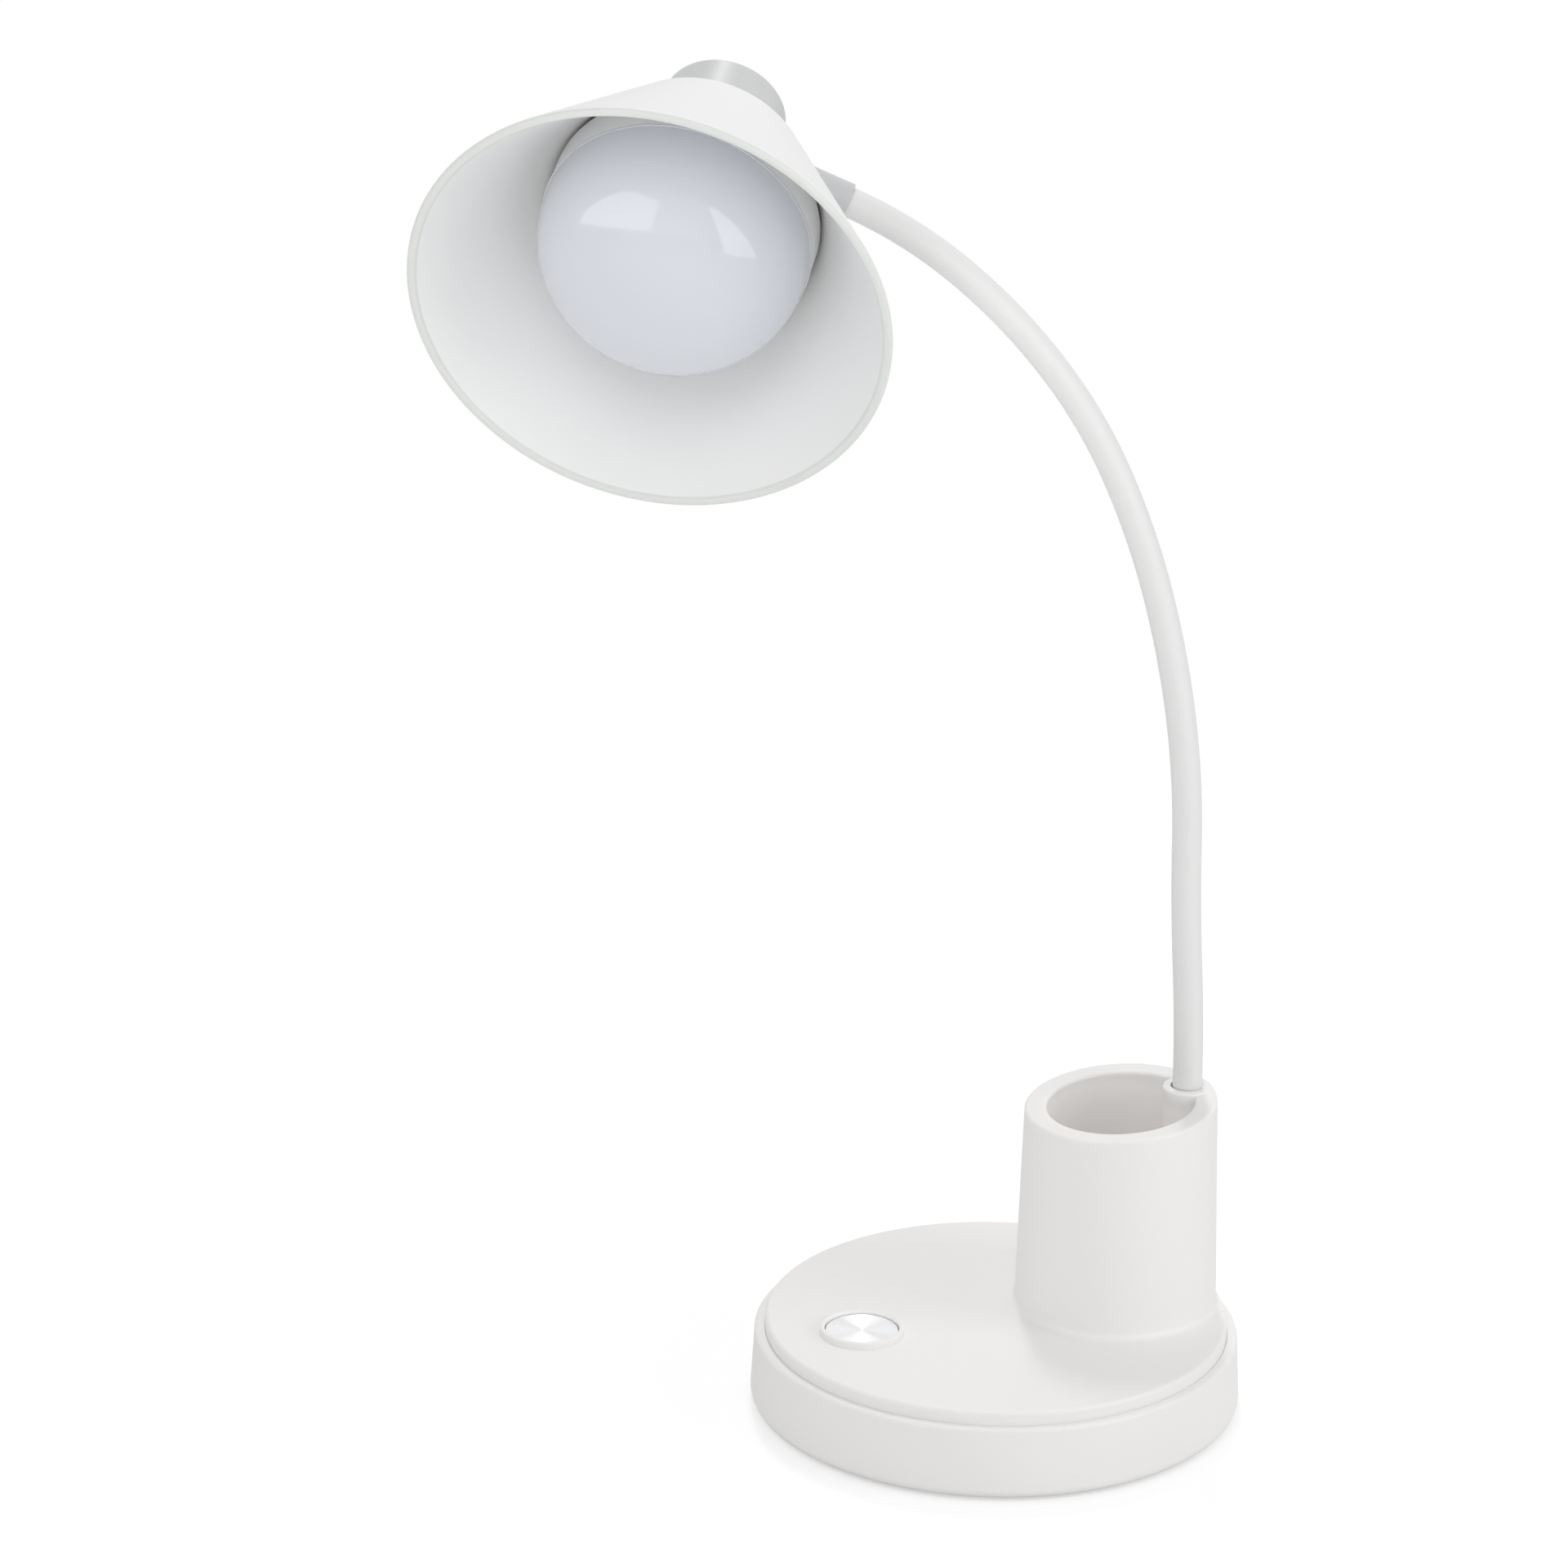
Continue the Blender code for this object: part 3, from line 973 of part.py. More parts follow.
def build_head_screws():
    """Make the screws that clamp housing, shade and neck together."""
    seat = HOUSING_BACK + HOUSING_WALL + GAP
    pieces = []
    for index, place in enumerate(on_circle(NECK_POST_CIRCLE, NECK_POST_COUNT, 0), 1):
        piece = screw(f"head_screw_{index}", HEAD_SCREW_RADIUS, HEAD_SCREW_LENGTH,
                      HEAD_SCREW_HEAD_RADIUS, HEAD_SCREW_HEAD_HEIGHT, STEEL)
        facing_back = Matrix.Rotation(math.pi, 4, "X")
        pieces.append(moved(piece, Matrix.Translation((place.x, place.y, seat)) @ facing_back))
    return pieces


def build_led_board():
    """Make the round LED board with its ring of chips."""
    low = LED_SEAT + GAP
    high = low + LED_BOARD_THICKNESS
    board = rod("led_board", LED_BOARD_RADIUS, low, high, DOME_SIDES, WHITE)
    chips = []
    for index, place in enumerate(on_circle(LED_CIRCLE, LED_COUNT, 0), 1):
        centre = (place.x, place.y, high)
        chips.append(block(f"led_chip_{index}", (LED_WIDTH, LED_WIDTH, 2 * LED_HEIGHT), centre))
    return combine(board, [group("led_chips", chips)], "UNION")


def dome_points(radius, low, tip):
    """List the points of a full dome, from its edge to its tip."""
    points = []
    for step in range(DOME_STEPS + 1):
        angle = math.pi / 2 * step / DOME_STEPS
        out = math.cos(angle) ** (2 / DOME_FULLNESS) if step < DOME_STEPS else 0
        up = math.sin(angle) ** (2 / DOME_FULLNESS)
        points.append((radius * out, low + (tip - low) * up))
    return points


def build_dome():
    """Make the diffuser: a thin dome with a spigot that snaps into the housing's mouth."""
    edge = HOUSING_FRONT + GAP
    spigot = HOUSING_MOUTH_RADIUS - GAP
    inside = spigot - DOME_SPIGOT_WALL
    low = edge - DOME_SPIGOT_DEPTH
    outer = dome_points(HOUSING_RADIUS, edge + DOME_BAND, DOME_TIP)
    inner = dome_points(HOUSING_RADIUS - DOME_WALL, edge + DOME_BAND, DOME_TIP - DOME_WALL)
    outline = [(spigot, edge), (HOUSING_RADIUS, edge), *outer, *reversed(inner[1:]),
               (inside, edge + DOME_BAND / 2), (inside, low), (spigot, low)]
    return turned("diffuser_dome", outline, DOME_SIDES, DIFFUSER)


def build_head(head):
    """Make the head about its centre, on an empty that lies on the swivel's axis."""
    pivot = empty_at("head_swivel", head)
    pieces = [build_neck(), build_shade(), build_housing(), *build_head_screws(), build_led_board(),
              build_dome()]
    start = -SPIGOT_REACH + LEAD_RADIUS
    pieces.append(lead("head_lead", [(start, 0, 0), (start / 2, 0, LEAD_RADIUS), (0, 0, SHADE_BACK),
                                     (0, 0, HOUSING_BACK), (0, 0, LED_SEAT)]))
    guides = [modifier.object for piece in pieces for modifier in piece.modifiers]
    seated(pieces + guides, pivot)


def main():
    """Build the whole lamp."""
    clear_scene()
    build_pad_and_weight()
    build_shell()
    build_cover()
    build_base_screws()
    build_board()
    build_key()
    build_inlet()
    build_base_leads()
    build_arm_anchor()
    arm_end, last_joint = build_arm()
    head = head_frame(arm_end)
    build_ferrule(head, last_joint)
    build_head(head)


main()
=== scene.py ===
"""Desk lamp with cup holder: smooth pieces and finishes built on the lamp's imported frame.

All sizes are in metres. The base stands on z = 0 round the Z axis, with the cup at +Y.
"""
import json
import logging
import math
from dataclasses import dataclass, field
from enum import Enum
from typing import Any, Callable

import bmesh
import bpy
from mathutils import Matrix, Vector

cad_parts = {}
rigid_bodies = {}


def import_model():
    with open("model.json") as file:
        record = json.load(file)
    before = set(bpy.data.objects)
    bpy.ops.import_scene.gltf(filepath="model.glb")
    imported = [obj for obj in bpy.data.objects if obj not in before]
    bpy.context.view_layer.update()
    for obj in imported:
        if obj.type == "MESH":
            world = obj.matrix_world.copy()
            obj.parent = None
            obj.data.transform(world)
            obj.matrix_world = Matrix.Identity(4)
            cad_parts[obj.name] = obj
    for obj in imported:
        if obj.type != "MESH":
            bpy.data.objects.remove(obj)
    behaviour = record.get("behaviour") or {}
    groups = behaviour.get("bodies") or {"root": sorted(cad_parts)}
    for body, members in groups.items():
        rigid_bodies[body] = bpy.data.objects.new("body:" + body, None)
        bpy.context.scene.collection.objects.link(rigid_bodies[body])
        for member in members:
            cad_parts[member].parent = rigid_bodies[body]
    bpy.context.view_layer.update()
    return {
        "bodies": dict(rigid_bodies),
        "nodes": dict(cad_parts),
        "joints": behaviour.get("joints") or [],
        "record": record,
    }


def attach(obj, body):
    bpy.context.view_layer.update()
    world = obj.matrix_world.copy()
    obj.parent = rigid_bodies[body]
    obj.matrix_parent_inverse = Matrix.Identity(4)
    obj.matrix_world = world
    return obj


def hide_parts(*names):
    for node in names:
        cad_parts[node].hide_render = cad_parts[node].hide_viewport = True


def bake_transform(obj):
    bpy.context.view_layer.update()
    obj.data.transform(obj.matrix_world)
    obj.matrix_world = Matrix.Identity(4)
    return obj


log = logging.getLogger("desk_lamp")
Piece = bpy.types.Object
Colour = tuple[float, float, float]
Outline = list[tuple[float, ...]]
Rows = tuple[tuple[float, ...], ...]


class Slot(Enum):
    """The material slots of the lamp's record."""

    PAD = "pad_rubber"
    WHITE = "white_plastic"
    TAPE = "cream_tape"
    IRON = "weight_iron"
    STEEL = "steel"
    BOARD = "circuit_board"
    BLACK = "black_plastic"
    CONNECTOR = "connector_plastic"
    LEAD = "lead_insulation"
    SPUN = "spun_aluminium"
    SLEEVE = "sleeve_plastic"
    CORE = "core_steel"
    GREY = "grey_plastic"
    LED_FACE = "led_board_face"
    DIFFUSER = "diffuser_plastic"


class Joining(Enum):
    """The ways in which one solid is combined with another."""

    ADD = "UNION"
    CUT = "DIFFERENCE"
    KEEP = "INTERSECT"


# Shader nodes


class Signal:
    """An output socket with arithmetic: each operator adds a Math node."""

    def __init__(self, tree: "NodeTree", socket: bpy.types.NodeSocket) -> None:
        """Keep the socket and the tree that it belongs to."""
        self.tree = tree
        self.socket = socket

    def __add__(self, other: "Signal | float") -> "Signal":
        """Add a value or another signal."""
        return self.tree.maths("ADD", self, other)

    def __sub__(self, other: "Signal | float") -> "Signal":
        """Take away a value or another signal."""
        return self.tree.maths("SUBTRACT", self, other)

    def __rsub__(self, other: "Signal | float") -> "Signal":
        """Take this signal away from a value."""
        return self.tree.maths("SUBTRACT", other, self)

    def __mul__(self, other: "Signal | float") -> "Signal":
        """Multiply by a value or another signal."""
        return self.tree.maths("MULTIPLY", self, other)

    __radd__ = __add__
    __rmul__ = __mul__

    def sine(self) -> "Signal":
        """Give the sine of the signal."""
        return self.tree.maths("SINE", self, 0.0)

    def around(self, middle: float, spread: float) -> "Signal":
        """Carry a signal from 0 to 1 over to a range that is spread round a middle."""
        return self * spread + (middle - spread / 2)


class NodeTree:
    """The node tree of one new material or of the world."""

    def __init__(self, owner: "bpy.types.Material | bpy.types.World") -> None:
        """Start an empty tree on its owner.

        Args:
            owner: The material or the world.
        """
        owner.use_nodes = True
        self.tree = owner.node_tree
        self.tree.nodes.clear()

    def node(self, kind: str, settings: dict[str, Any] | None = None,
             inputs: "dict[str | int, Any] | None" = None, output: "str | int" = 0) -> Signal:
        """Add a node.

        Args:
            kind: The node's type name, less the ShaderNode that all of them start with.
            settings: Its properties, set first.
            inputs: Values or signals for its input sockets.
            output: The output socket to give back.

        Returns:
            The chosen output socket as a signal.
        """
        made = self.tree.nodes.new("ShaderNode" + kind)
        for key, value in (settings or {}).items():
            setattr(made, key, value)
        for key, value in (inputs or {}).items():
            if isinstance(value, Signal):
                self.tree.links.new(value.socket, made.inputs[key])
            else:
                made.inputs[key].default_value = value
        return Signal(self, made.outputs[output])

    def maths(self, operation: str, first: "Signal | float", second: "Signal | float") -> Signal:
        """Add a Math node on two values or signals."""
        return self.node("Math", {"operation": operation}, {0: first, 1: second})

    def blend_colours(self, share: "Signal | float", first: Any, second: Any) -> Signal:
        """Mix two colours by a share from 0 to 1."""
        ends = [value if isinstance(value, Signal) else (*value, 1) for value in (first, second)]
        return self.node("Mix", {"data_type": "RGBA"}, {0: share, 6: ends[0], 7: ends[1]}, output=2)

    def place(self, matrix: Matrix | None = None, scale: Colour = (1, 1, 1)) -> Signal:
        """Give Object coordinates, seen from a frame and stretched.

        Args:
            matrix: The frame, in the lamp's own coordinates; None keeps these.
            scale: How much each axis is stretched after that.

        Returns:
            The coordinates as a vector signal.
        """
        found = self.node("TexCoord", output="Object")
        if matrix is not None:
            found = self.node("Mapping", {"vector_type": "TEXTURE"},
                              {"Vector": found, "Location": matrix.translation,
                               "Rotation": matrix.to_euler()})
        return self.node("Mapping", {"vector_type": "POINT"}, {"Vector": found, "Scale": scale})

    def length(self, vector: Signal) -> Signal:
        """Give the length of a vector."""
        return self.node("VectorMath", {"operation": "LENGTH"}, {0: vector}, output="Value")

    def height(self, vector: Signal) -> Signal:
        """Give the Z of a vector."""
        return self.node("SeparateXYZ", None, {0: vector}, output="Z")

    def ray(self, kind: str) -> Signal:
        """Give 1 where a kind of ray arrives and 0 elsewhere."""
        return self.node("LightPath", output=f"Is {kind} Ray")

    def ramp(self, value: Signal, start: float, end: float) -> Signal:
        """Give 0 at the start, 1 at the end and a straight ramp between them."""
        return self.node("MapRange", None, {"Value": value, "From Min": start, "From Max": end})

    def noise(self, where: Signal, per_metre: float, detail: float = 2.0) -> Signal:
        """Give noise from 0 to 1 with a number of features in a metre."""
        return self.node("TexNoise", None, {"Vector": where, "Scale": per_metre, "Detail": detail})

    def bump(self, height: Signal, depth: float) -> Signal:
        """Turn a height signal into a normal, with its depth in metres."""
        return self.node("Bump", None, {"Height": height, "Distance": depth, "Strength": 1.0})

    def finish_with(self, **sockets: Any) -> None:
        """Add the Principled shader with its values or signals, and connect it.

        Args:
            sockets: The shader's sockets, with underscores for the spaces in their names.
        """
        inputs = {key.replace("_", " "): value for key, value in sockets.items()}
        self.connect_output(self.node("BsdfPrincipled", None, inputs))

    def connect_output(self, shader: Signal, kind: str = "OutputMaterial") -> None:
        """Add the output node of the material or the world, and connect a shader to it."""
        made = self.tree.nodes.new("ShaderNode" + kind)
        self.tree.links.new(shader.socket, made.inputs["Surface"])


# Finishes


@dataclass(frozen=True)
class Finish:
    """A finish that is made once and shared by the pieces that take it."""

    name: str
    slot: Slot
    colour: Colour

    def material(self) -> bpy.types.Material:
        """Give the material, and make it the first time.

        Returns:
            The material.
        """
        made = bpy.data.materials.get(self.name)
        if made is None:
            made = bpy.data.materials.new(self.name)
            self.draw(NodeTree(made))
        return made

    def draw(self, tree: NodeTree) -> None:
        """Lay out the nodes of the finish."""
        raise NotImplementedError

    def toned(self, share: float) -> Colour:
        """Give the colour times a share, up to white."""
        return tuple(min(part * share, 1) for part in self.colour)

    def shades(self, tree: NodeTree, where: Signal, per_metre: float, spread: float) -> Signal:
        """Let the colour go up and down by a share, with a number of slow changes in a metre."""
        changes = tree.noise(where, per_metre)
        return tree.blend_colours(changes, self.toned(1 - spread), self.toned(1 + spread))


@dataclass(frozen=True)
class MouldedPlastic(Finish):
    """Plastic out of a fine spark-eroded mould, with a soft sheen."""

    roughness: float = 0.42
    sheen_spread: float = 0.06
    sheens_per_metre: float = 26
    grain_per_metre: float = 5200
    grain_depth: float = 3e-6
    tone_spread: float = 0.008
    tones_per_metre: float = 14
    gloss: float = 0.3

    def draw(self, tree: NodeTree) -> None:
        """Lay out a slow tone, a slower sheen and a fine grain.

        Args:
            tree: The material's nodes.
        """
        where = tree.place()
        sheen = tree.noise(where, self.sheens_per_metre, 3.0).around(self.roughness, self.sheen_spread)
        grain = tree.noise(where, self.grain_per_metre, 1.0)
        tree.finish_with(Base_Color=self.tone(tree, where), Roughness=sheen,
                         Specular_IOR_Level=self.gloss, Normal=tree.bump(grain, self.grain_depth))

    def tone(self, tree: NodeTree, where: Signal) -> Signal:
        """Give the plastic's colour at a place."""
        return self.shades(tree, where, self.tones_per_metre, self.tone_spread)


@dataclass(frozen=True)
class PaintedLightAndShadePlastic(MouldedPlastic):
    """Moulded plastic with a painted second tone in a zone round a frame's Z axis: painted light where the
    tone is lighter, painted shade where it is darker.
    """

    frame: Rows = ()
    # The painted tone: lighter for painted light in the cup's well, darker for painted shade on the lamp
    # shade's rim
    second: Colour = (1, 1, 1)
    low: float = 0.0
    high: float = 1.0
    within: float = 1.0
    fade: float = 0.0006

    def tone(self, tree: NodeTree, where: Signal) -> Signal:
        """Blend the second tone, painted light or painted shade as it is used, in between two heights and
        within a distance.

        Args:
            tree: The material's nodes.
            where: The place's coordinates.

        Returns:
            The colour signal.
        """
        height = tree.height(tree.place(Matrix(self.frame)))
        distance = tree.length(tree.place(Matrix(self.frame), (1, 1, 0)))
        share = (tree.ramp(height, self.low, self.low + self.fade)
                 * tree.ramp(height, self.high, self.high - self.fade)
                 * tree.ramp(distance, self.within, self.within - self.fade))
        return tree.blend_colours(share, super().tone(tree, where), self.second)


@dataclass(frozen=True)
class SatinCylinder(Finish):
    """Satin plastic with faint draw lines along a round piece's axis."""

    frame: Rows = ()
    roughness: float = 0.4
    sheen_spread: float = 0.1
    lines_per_metre: float = 2600
    line_squeeze: float = 0.012
    line_depth: float = 4e-6
    lines_per_band: float = 9
    band_share: float = 0.4
    tone_spread: float = 0.045

    def draw(self, tree: NodeTree) -> None:
        """Lay out lines that are long on the frame's Z axis and narrow across it.

        Args:
            tree: The material's nodes.
        """
        along = tree.place(Matrix(self.frame), (1, 1, self.line_squeeze))
        lines = tree.noise(along, self.lines_per_metre, 2.0)
        bands = tree.noise(along, self.lines_per_metre / self.lines_per_band, 1.0)
        tone = tree.blend_colours(lines * (1 - self.band_share) + bands * self.band_share,
                                  self.toned(1 - self.tone_spread), self.toned(1 + self.tone_spread))
        tree.finish_with(Base_Color=tone, Roughness=bands.around(self.roughness, self.sheen_spread),
                         Normal=tree.bump(lines, self.line_depth))


@dataclass(frozen=True)
class SpunMetal(Finish):
    """Metal turned on a lathe: fine rings round a centre."""

    centre: Colour = (0, 0, 0)
    roughness: float = 0.34
    sheen_spread: float = 0.08
    drawn: float = 1.0
    drawn_turn: float = 0.25
    ring_pitch: float = 0.00045
    ring_depth: float = 1.2e-6
    ring_share: float = 0.5
    marks_per_metre: float = 2300
    darkest: float = 0.93

    def draw(self, tree: NodeTree) -> None:
        """Lay out rings by the distance from the centre, uneven as a tool leaves them.

        Args:
            tree: The material's nodes.
        """
        distance = tree.length(tree.place(Matrix.Translation(self.centre), (1, 1, 0)))
        rings = (distance * (math.tau / self.ring_pitch)).sine()
        uneven = tree.node("TexNoise", {"noise_dimensions": "1D"},
                           {"W": distance, "Scale": self.marks_per_metre, "Detail": 2.0})
        tree.finish_with(Base_Color=tree.blend_colours(uneven, self.toned(self.darkest), self.colour),
                         Metallic=1.0, Roughness=uneven.around(self.roughness, self.sheen_spread),
                         Anisotropic=self.drawn, Anisotropic_Rotation=self.drawn_turn,
                         Normal=tree.bump(rings * self.ring_share + uneven, self.ring_depth))


@dataclass(frozen=True)
class PlatedMetal(Finish):
    """Plated or raw metal, from bright screws to a dark casting."""

    roughness: float = 0.35
    sheen_spread: float = 0.2
    grain_per_metre: float = 900
    grain_depth: float = 1e-5
    grains_per_tone: float = 5
    tone_spread: float = 0.12
    stretch: Colour = (1, 1, 1)

    def draw(self, tree: NodeTree) -> None:
        """Lay out a mottled tone and a grain that may be drawn out along an axis.

        Args:
            tree: The material's nodes.
        """
        where = tree.place(scale=self.stretch)
        grain = tree.noise(where, self.grain_per_metre, 3.0)
        tone = self.shades(tree, where, self.grain_per_metre / self.grains_per_tone, self.tone_spread)
        tree.finish_with(Base_Color=tone, Metallic=1.0, Normal=tree.bump(grain, self.grain_depth),
                         Roughness=grain.around(self.roughness, self.sheen_spread))


@dataclass(frozen=True)
class CellularRubber(Finish):
    """Rubber or foam sheet with closed cells."""

    roughness: float = 0.85
    cells_per_metre: float = 1400
    cell_depth: float = 6e-5
    darkest: float = 0.8
    lightest: float = 1.15

    def draw(self, tree: NodeTree) -> None:
        """Lay out cells that dent the surface, with painted shade: darker down in each dent, lighter on the
        walls between.

        Args:
            tree: The material's nodes.
        """
        cells = tree.node("TexVoronoi", None, {"Vector": tree.place(), "Scale": self.cells_per_metre},
                          output="Distance")
        # Painted shade: the colour follows the dents and is darkest at their bottoms
        tone = tree.blend_colours(cells, self.toned(self.darkest), self.toned(self.lightest))
        tree.finish_with(Base_Color=tone, Roughness=self.roughness, Normal=tree.bump(cells, self.cell_depth))


@dataclass(frozen=True)
class Laminate(Finish):
    """Circuit laminate: a lacquered sheet with tracks under the lacquer."""

    track: Colour = (0.09, 0.36, 0.18)
    track_pitch: float = 0.0034
    track_height: float = 3e-5
    roughness: float = 0.32

    def draw(self, tree: NodeTree) -> None:
        """Lay out raised tracks as the mortar lines of a brick pattern.

        Args:
            tree: The material's nodes.
        """
        black, white = (0, 0, 0, 1), (1, 1, 1, 1)
        tracks = tree.node("TexBrick", None,
                           {"Vector": tree.place(), "Color1": black, "Color2": black, "Mortar": white,
                            "Scale": 1 / self.track_pitch, "Mortar Size": 0.09, "Brick Width": 1.7,
                            "Row Height": 0.5})
        level = tree.node("RGBToBW", None, {0: tracks})
        tree.finish_with(Base_Color=tree.blend_colours(level, self.colour, self.track),
                         Roughness=self.roughness, Normal=tree.bump(level, self.track_height))


@dataclass(frozen=True)
class LedFace(Finish):
    """White solder mask with a ring of yellow phosphor squares."""

    frame: Rows = ()
    board_top: float = 0.0
    phosphor: Colour = (0.85, 0.66, 0.12)
    phosphor_from: float = 0.0002
    roughness: float = 0.45
    tones_per_metre: float = 300
    tone_spread: float = 0.02
    grain_per_metre: float = 2400
    grain_depth: float = 1e-5

    def draw(self, tree: NodeTree) -> None:
        """Lay out the mask, and the phosphor wherever the face stands above the board.

        Args:
            tree: The material's nodes.
        """
        where = tree.place(Matrix(self.frame))
        raised = tree.maths("GREATER_THAN", tree.height(where), self.board_top + self.phosphor_from)
        mask = self.shades(tree, where, self.tones_per_metre, self.tone_spread)
        grain = tree.noise(where, self.grain_per_metre)
        tree.finish_with(Base_Color=tree.blend_colours(raised, mask, self.phosphor),
                         Roughness=self.roughness, Normal=tree.bump(grain, self.grain_depth))


@dataclass(frozen=True)
class OpalPlastic(Finish):
    """Glossy opal diffuser plastic with a very slight orange peel."""

    roughness: float = 0.5
    sheen_spread: float = 0.04
    polish: float = 0.01
    gloss: float = 0.1
    ripples_per_metre: float = 120
    ripple_depth: float = 3e-6
    tones_per_metre: float = 20
    tone_spread: float = 0.006

    def draw(self, tree: NodeTree) -> None:
        """Lay out a slow tone and shallow, wide ripples under a clear gloss.

        Args:
            tree: The material's nodes.
        """
        where = tree.place()
        ripples = tree.noise(where, self.ripples_per_metre, 1.0)
        tree.finish_with(Base_Color=self.shades(tree, where, self.tones_per_metre, self.tone_spread),
                         Roughness=ripples.around(self.roughness, self.sheen_spread),
                         Specular_IOR_Level=self.gloss, Coat_Weight=1.0, Coat_Roughness=self.polish,
                         Normal=tree.bump(ripples, self.ripple_depth))


# Modelling


# Vertices closer than this are one, in an outline and in a whole piece
OUTLINE_MERGE = 1e-7
PIECE_MERGE = 1e-6


def rows(matrix: Matrix) -> Rows:
    """Give a matrix as plain rows, which a frozen finish can hold."""
    return tuple(tuple(row) for row in matrix)


def rounded(corners: Outline, steps: int, closed: bool) -> Outline:
    """Round the corners of an outline with arcs that touch both neighbouring lines.

    Args:
        corners: Each corner's radius and height and, where it is rounded, its arc's radius.
        steps: How many segments each arc gets.
        closed: Whether the last corner joins the first.

    Returns:
        The (radius, height) points.
    """
    places = [Vector(corner[:2]) for corner in corners]
    points: Outline = []
    for index, (corner, here) in enumerate(zip(corners, places)):
        if len(corner) == 2 or (not closed and index in (0, len(places) - 1)):
            points.append(tuple(here))
            continue
        neighbours = places[index - 1], places[(index + 1) % len(places)]
        sides = [(other - here).normalized() for other in neighbours]
        half = sides[0].angle(sides[1]) / 2
        middle = here + (sides[0] + sides[1]).normalized() * corner[2] / math.sin(half)
        reach = corner[2] / math.tan(half)
        first, last = (here + side * reach - middle for side in sides)
        sweep = math.atan2(first.cross(last), first.dot(last))
        for step in range(steps + 1):
            points.append(tuple(middle + Matrix.Rotation(sweep * step / steps, 2) @ first))
    return points


def clear() -> None:
    """Go back to object mode with nothing selected."""
    if bpy.context.object is not None and bpy.context.object.mode != "OBJECT":
        bpy.ops.object.mode_set(mode="OBJECT")
    bpy.ops.object.select_all(action="DESELECT")


def named(name: str) -> Piece:
    """Name the mesh object that an operator has just added.

    Args:
        name: The piece's name.

    Returns:
        The piece.
    """
    piece = bpy.context.object
    piece.name = piece.data.name = name
    return piece


def pick(piece: Piece) -> Piece:
    """Select one piece alone and make it the active one.

    Args:
        piece: The piece.

    Returns:
        The same piece.
    """
    clear()
    piece.select_set(True)
    bpy.context.view_layer.objects.active = piece
    return piece


def edit(piece: Piece) -> Piece:
    """Open a piece in edit mode with all of it selected.

    Args:
        piece: The piece.

    Returns:
        The same piece.
    """
    pick(piece)
    bpy.ops.object.mode_set(mode="EDIT")
    bpy.ops.mesh.select_mode(type="VERT")
    bpy.ops.mesh.select_all(action="SELECT")
    return piece


def select(piece: Piece, wanted: Callable[[Vector], bool]) -> None:
    """Select, in edit mode, the vertices whose places are wanted.

    Args:
        piece: The piece.
        wanted: Says whether a place is wanted.
    """
    mesh = bmesh.from_edit_mesh(piece.data)
    for vert in mesh.verts:
        vert.select_set(wanted(vert.co))
    mesh.select_flush_mode()
    bmesh.update_edit_mesh(piece.data)


def extrude(*move: float) -> None:
    """Extrude, in edit mode, what is selected."""
    bpy.ops.mesh.extrude_region_move(TRANSFORM_OT_translate={"value": move})


def close(piece: Piece) -> Piece:
    """Merge doubled vertices, turn the faces outwards and leave edit mode.

    Args:
        piece: The piece.

    Returns:
        The same piece.
    """
    bpy.ops.mesh.select_all(action="SELECT")
    bpy.ops.mesh.remove_doubles(threshold=PIECE_MERGE)
    bpy.ops.mesh.normals_make_consistent(inside=False)
    bpy.ops.object.mode_set(mode="OBJECT")
    return piece


def spun(name: str, points: Outline, steps: int) -> Piece:
    """Draw an outline by extruding one vertex, and spin it round the Z axis.

    Args:
        name: The piece's name.
        points: The outline's (radius, height) points, closed if none lies on the axis.
        steps: How many segments the full turn gets.

    Returns:
        The closed solid.
    """
    clear()
    bpy.ops.mesh.primitive_plane_add(size=0.001)
    piece = edit(named(name))
    bpy.ops.mesh.merge(type="CENTER")
    bpy.ops.transform.translate(value=(points[0][0], 0, points[0][1]))
    closing = [] if points[0][0] == 0 and points[-1][0] == 0 else [points[0]]
    for here, there in zip(points, [*points[1:], *closing]):
        extrude(there[0] - here[0], 0, there[1] - here[1])
    bpy.ops.mesh.select_all(action="SELECT")
    bpy.ops.mesh.remove_doubles(threshold=OUTLINE_MERGE)
    bpy.ops.mesh.select_all(action="SELECT")
    bpy.ops.mesh.spin(steps=steps, angle=math.tau, center=(0, 0, 0), axis=(0, 0, 1))
    return close(piece)


def turned(name: str, steps: int, corners: Outline, arc_steps: int = 8, closed: bool = False) -> Piece:
    """Spin an outline whose corners are rounded first."""
    return spun(name, rounded(corners, arc_steps, closed), steps)


def cylinder(name: str, steps: int, radius: float, low: float, high: float) -> Piece:
    """Spin a plain cylinder between two heights."""
    return turned(name, steps, [(0, low), (radius, low), (radius, high), (0, high)])


def put(piece: Piece, place: Matrix) -> Piece:
    """Move a piece to a frame and keep the place in its mesh.

    Args:
        piece: The piece.
        place: The frame that it moves to.

    Returns:
        The same piece.
    """
    pick(piece).matrix_world = place
    bpy.ops.object.transform_apply(location=True, rotation=True, scale=True)
    return piece


def modify(piece: Piece, kind: str, **settings: Any) -> Piece:
    """Add a modifier with its settings to a piece, and apply it.

    Args:
        piece: The piece.
        kind: The modifier's type.
        settings: Its settings.

    Returns:
        The same piece.
    """
    modifier = piece.modifiers.new(kind.lower(), kind)
    for key, value in settings.items():
        setattr(modifier, key, value)
    pick(piece)
    bpy.ops.object.modifier_apply(modifier=modifier.name)
    return piece


def combine(piece: Piece, tool: Piece, joining: Joining) -> Piece:
    """Combine a piece with a tool, which is used up.

    Args:
        piece: The piece.
        tool: The tool.
        joining: How the two are combined.

    Returns:
        The same piece.
    """
    modify(piece, "BOOLEAN", operation=joining.value, solver="EXACT", object=tool)
    bpy.data.objects.remove(tool)
    return piece


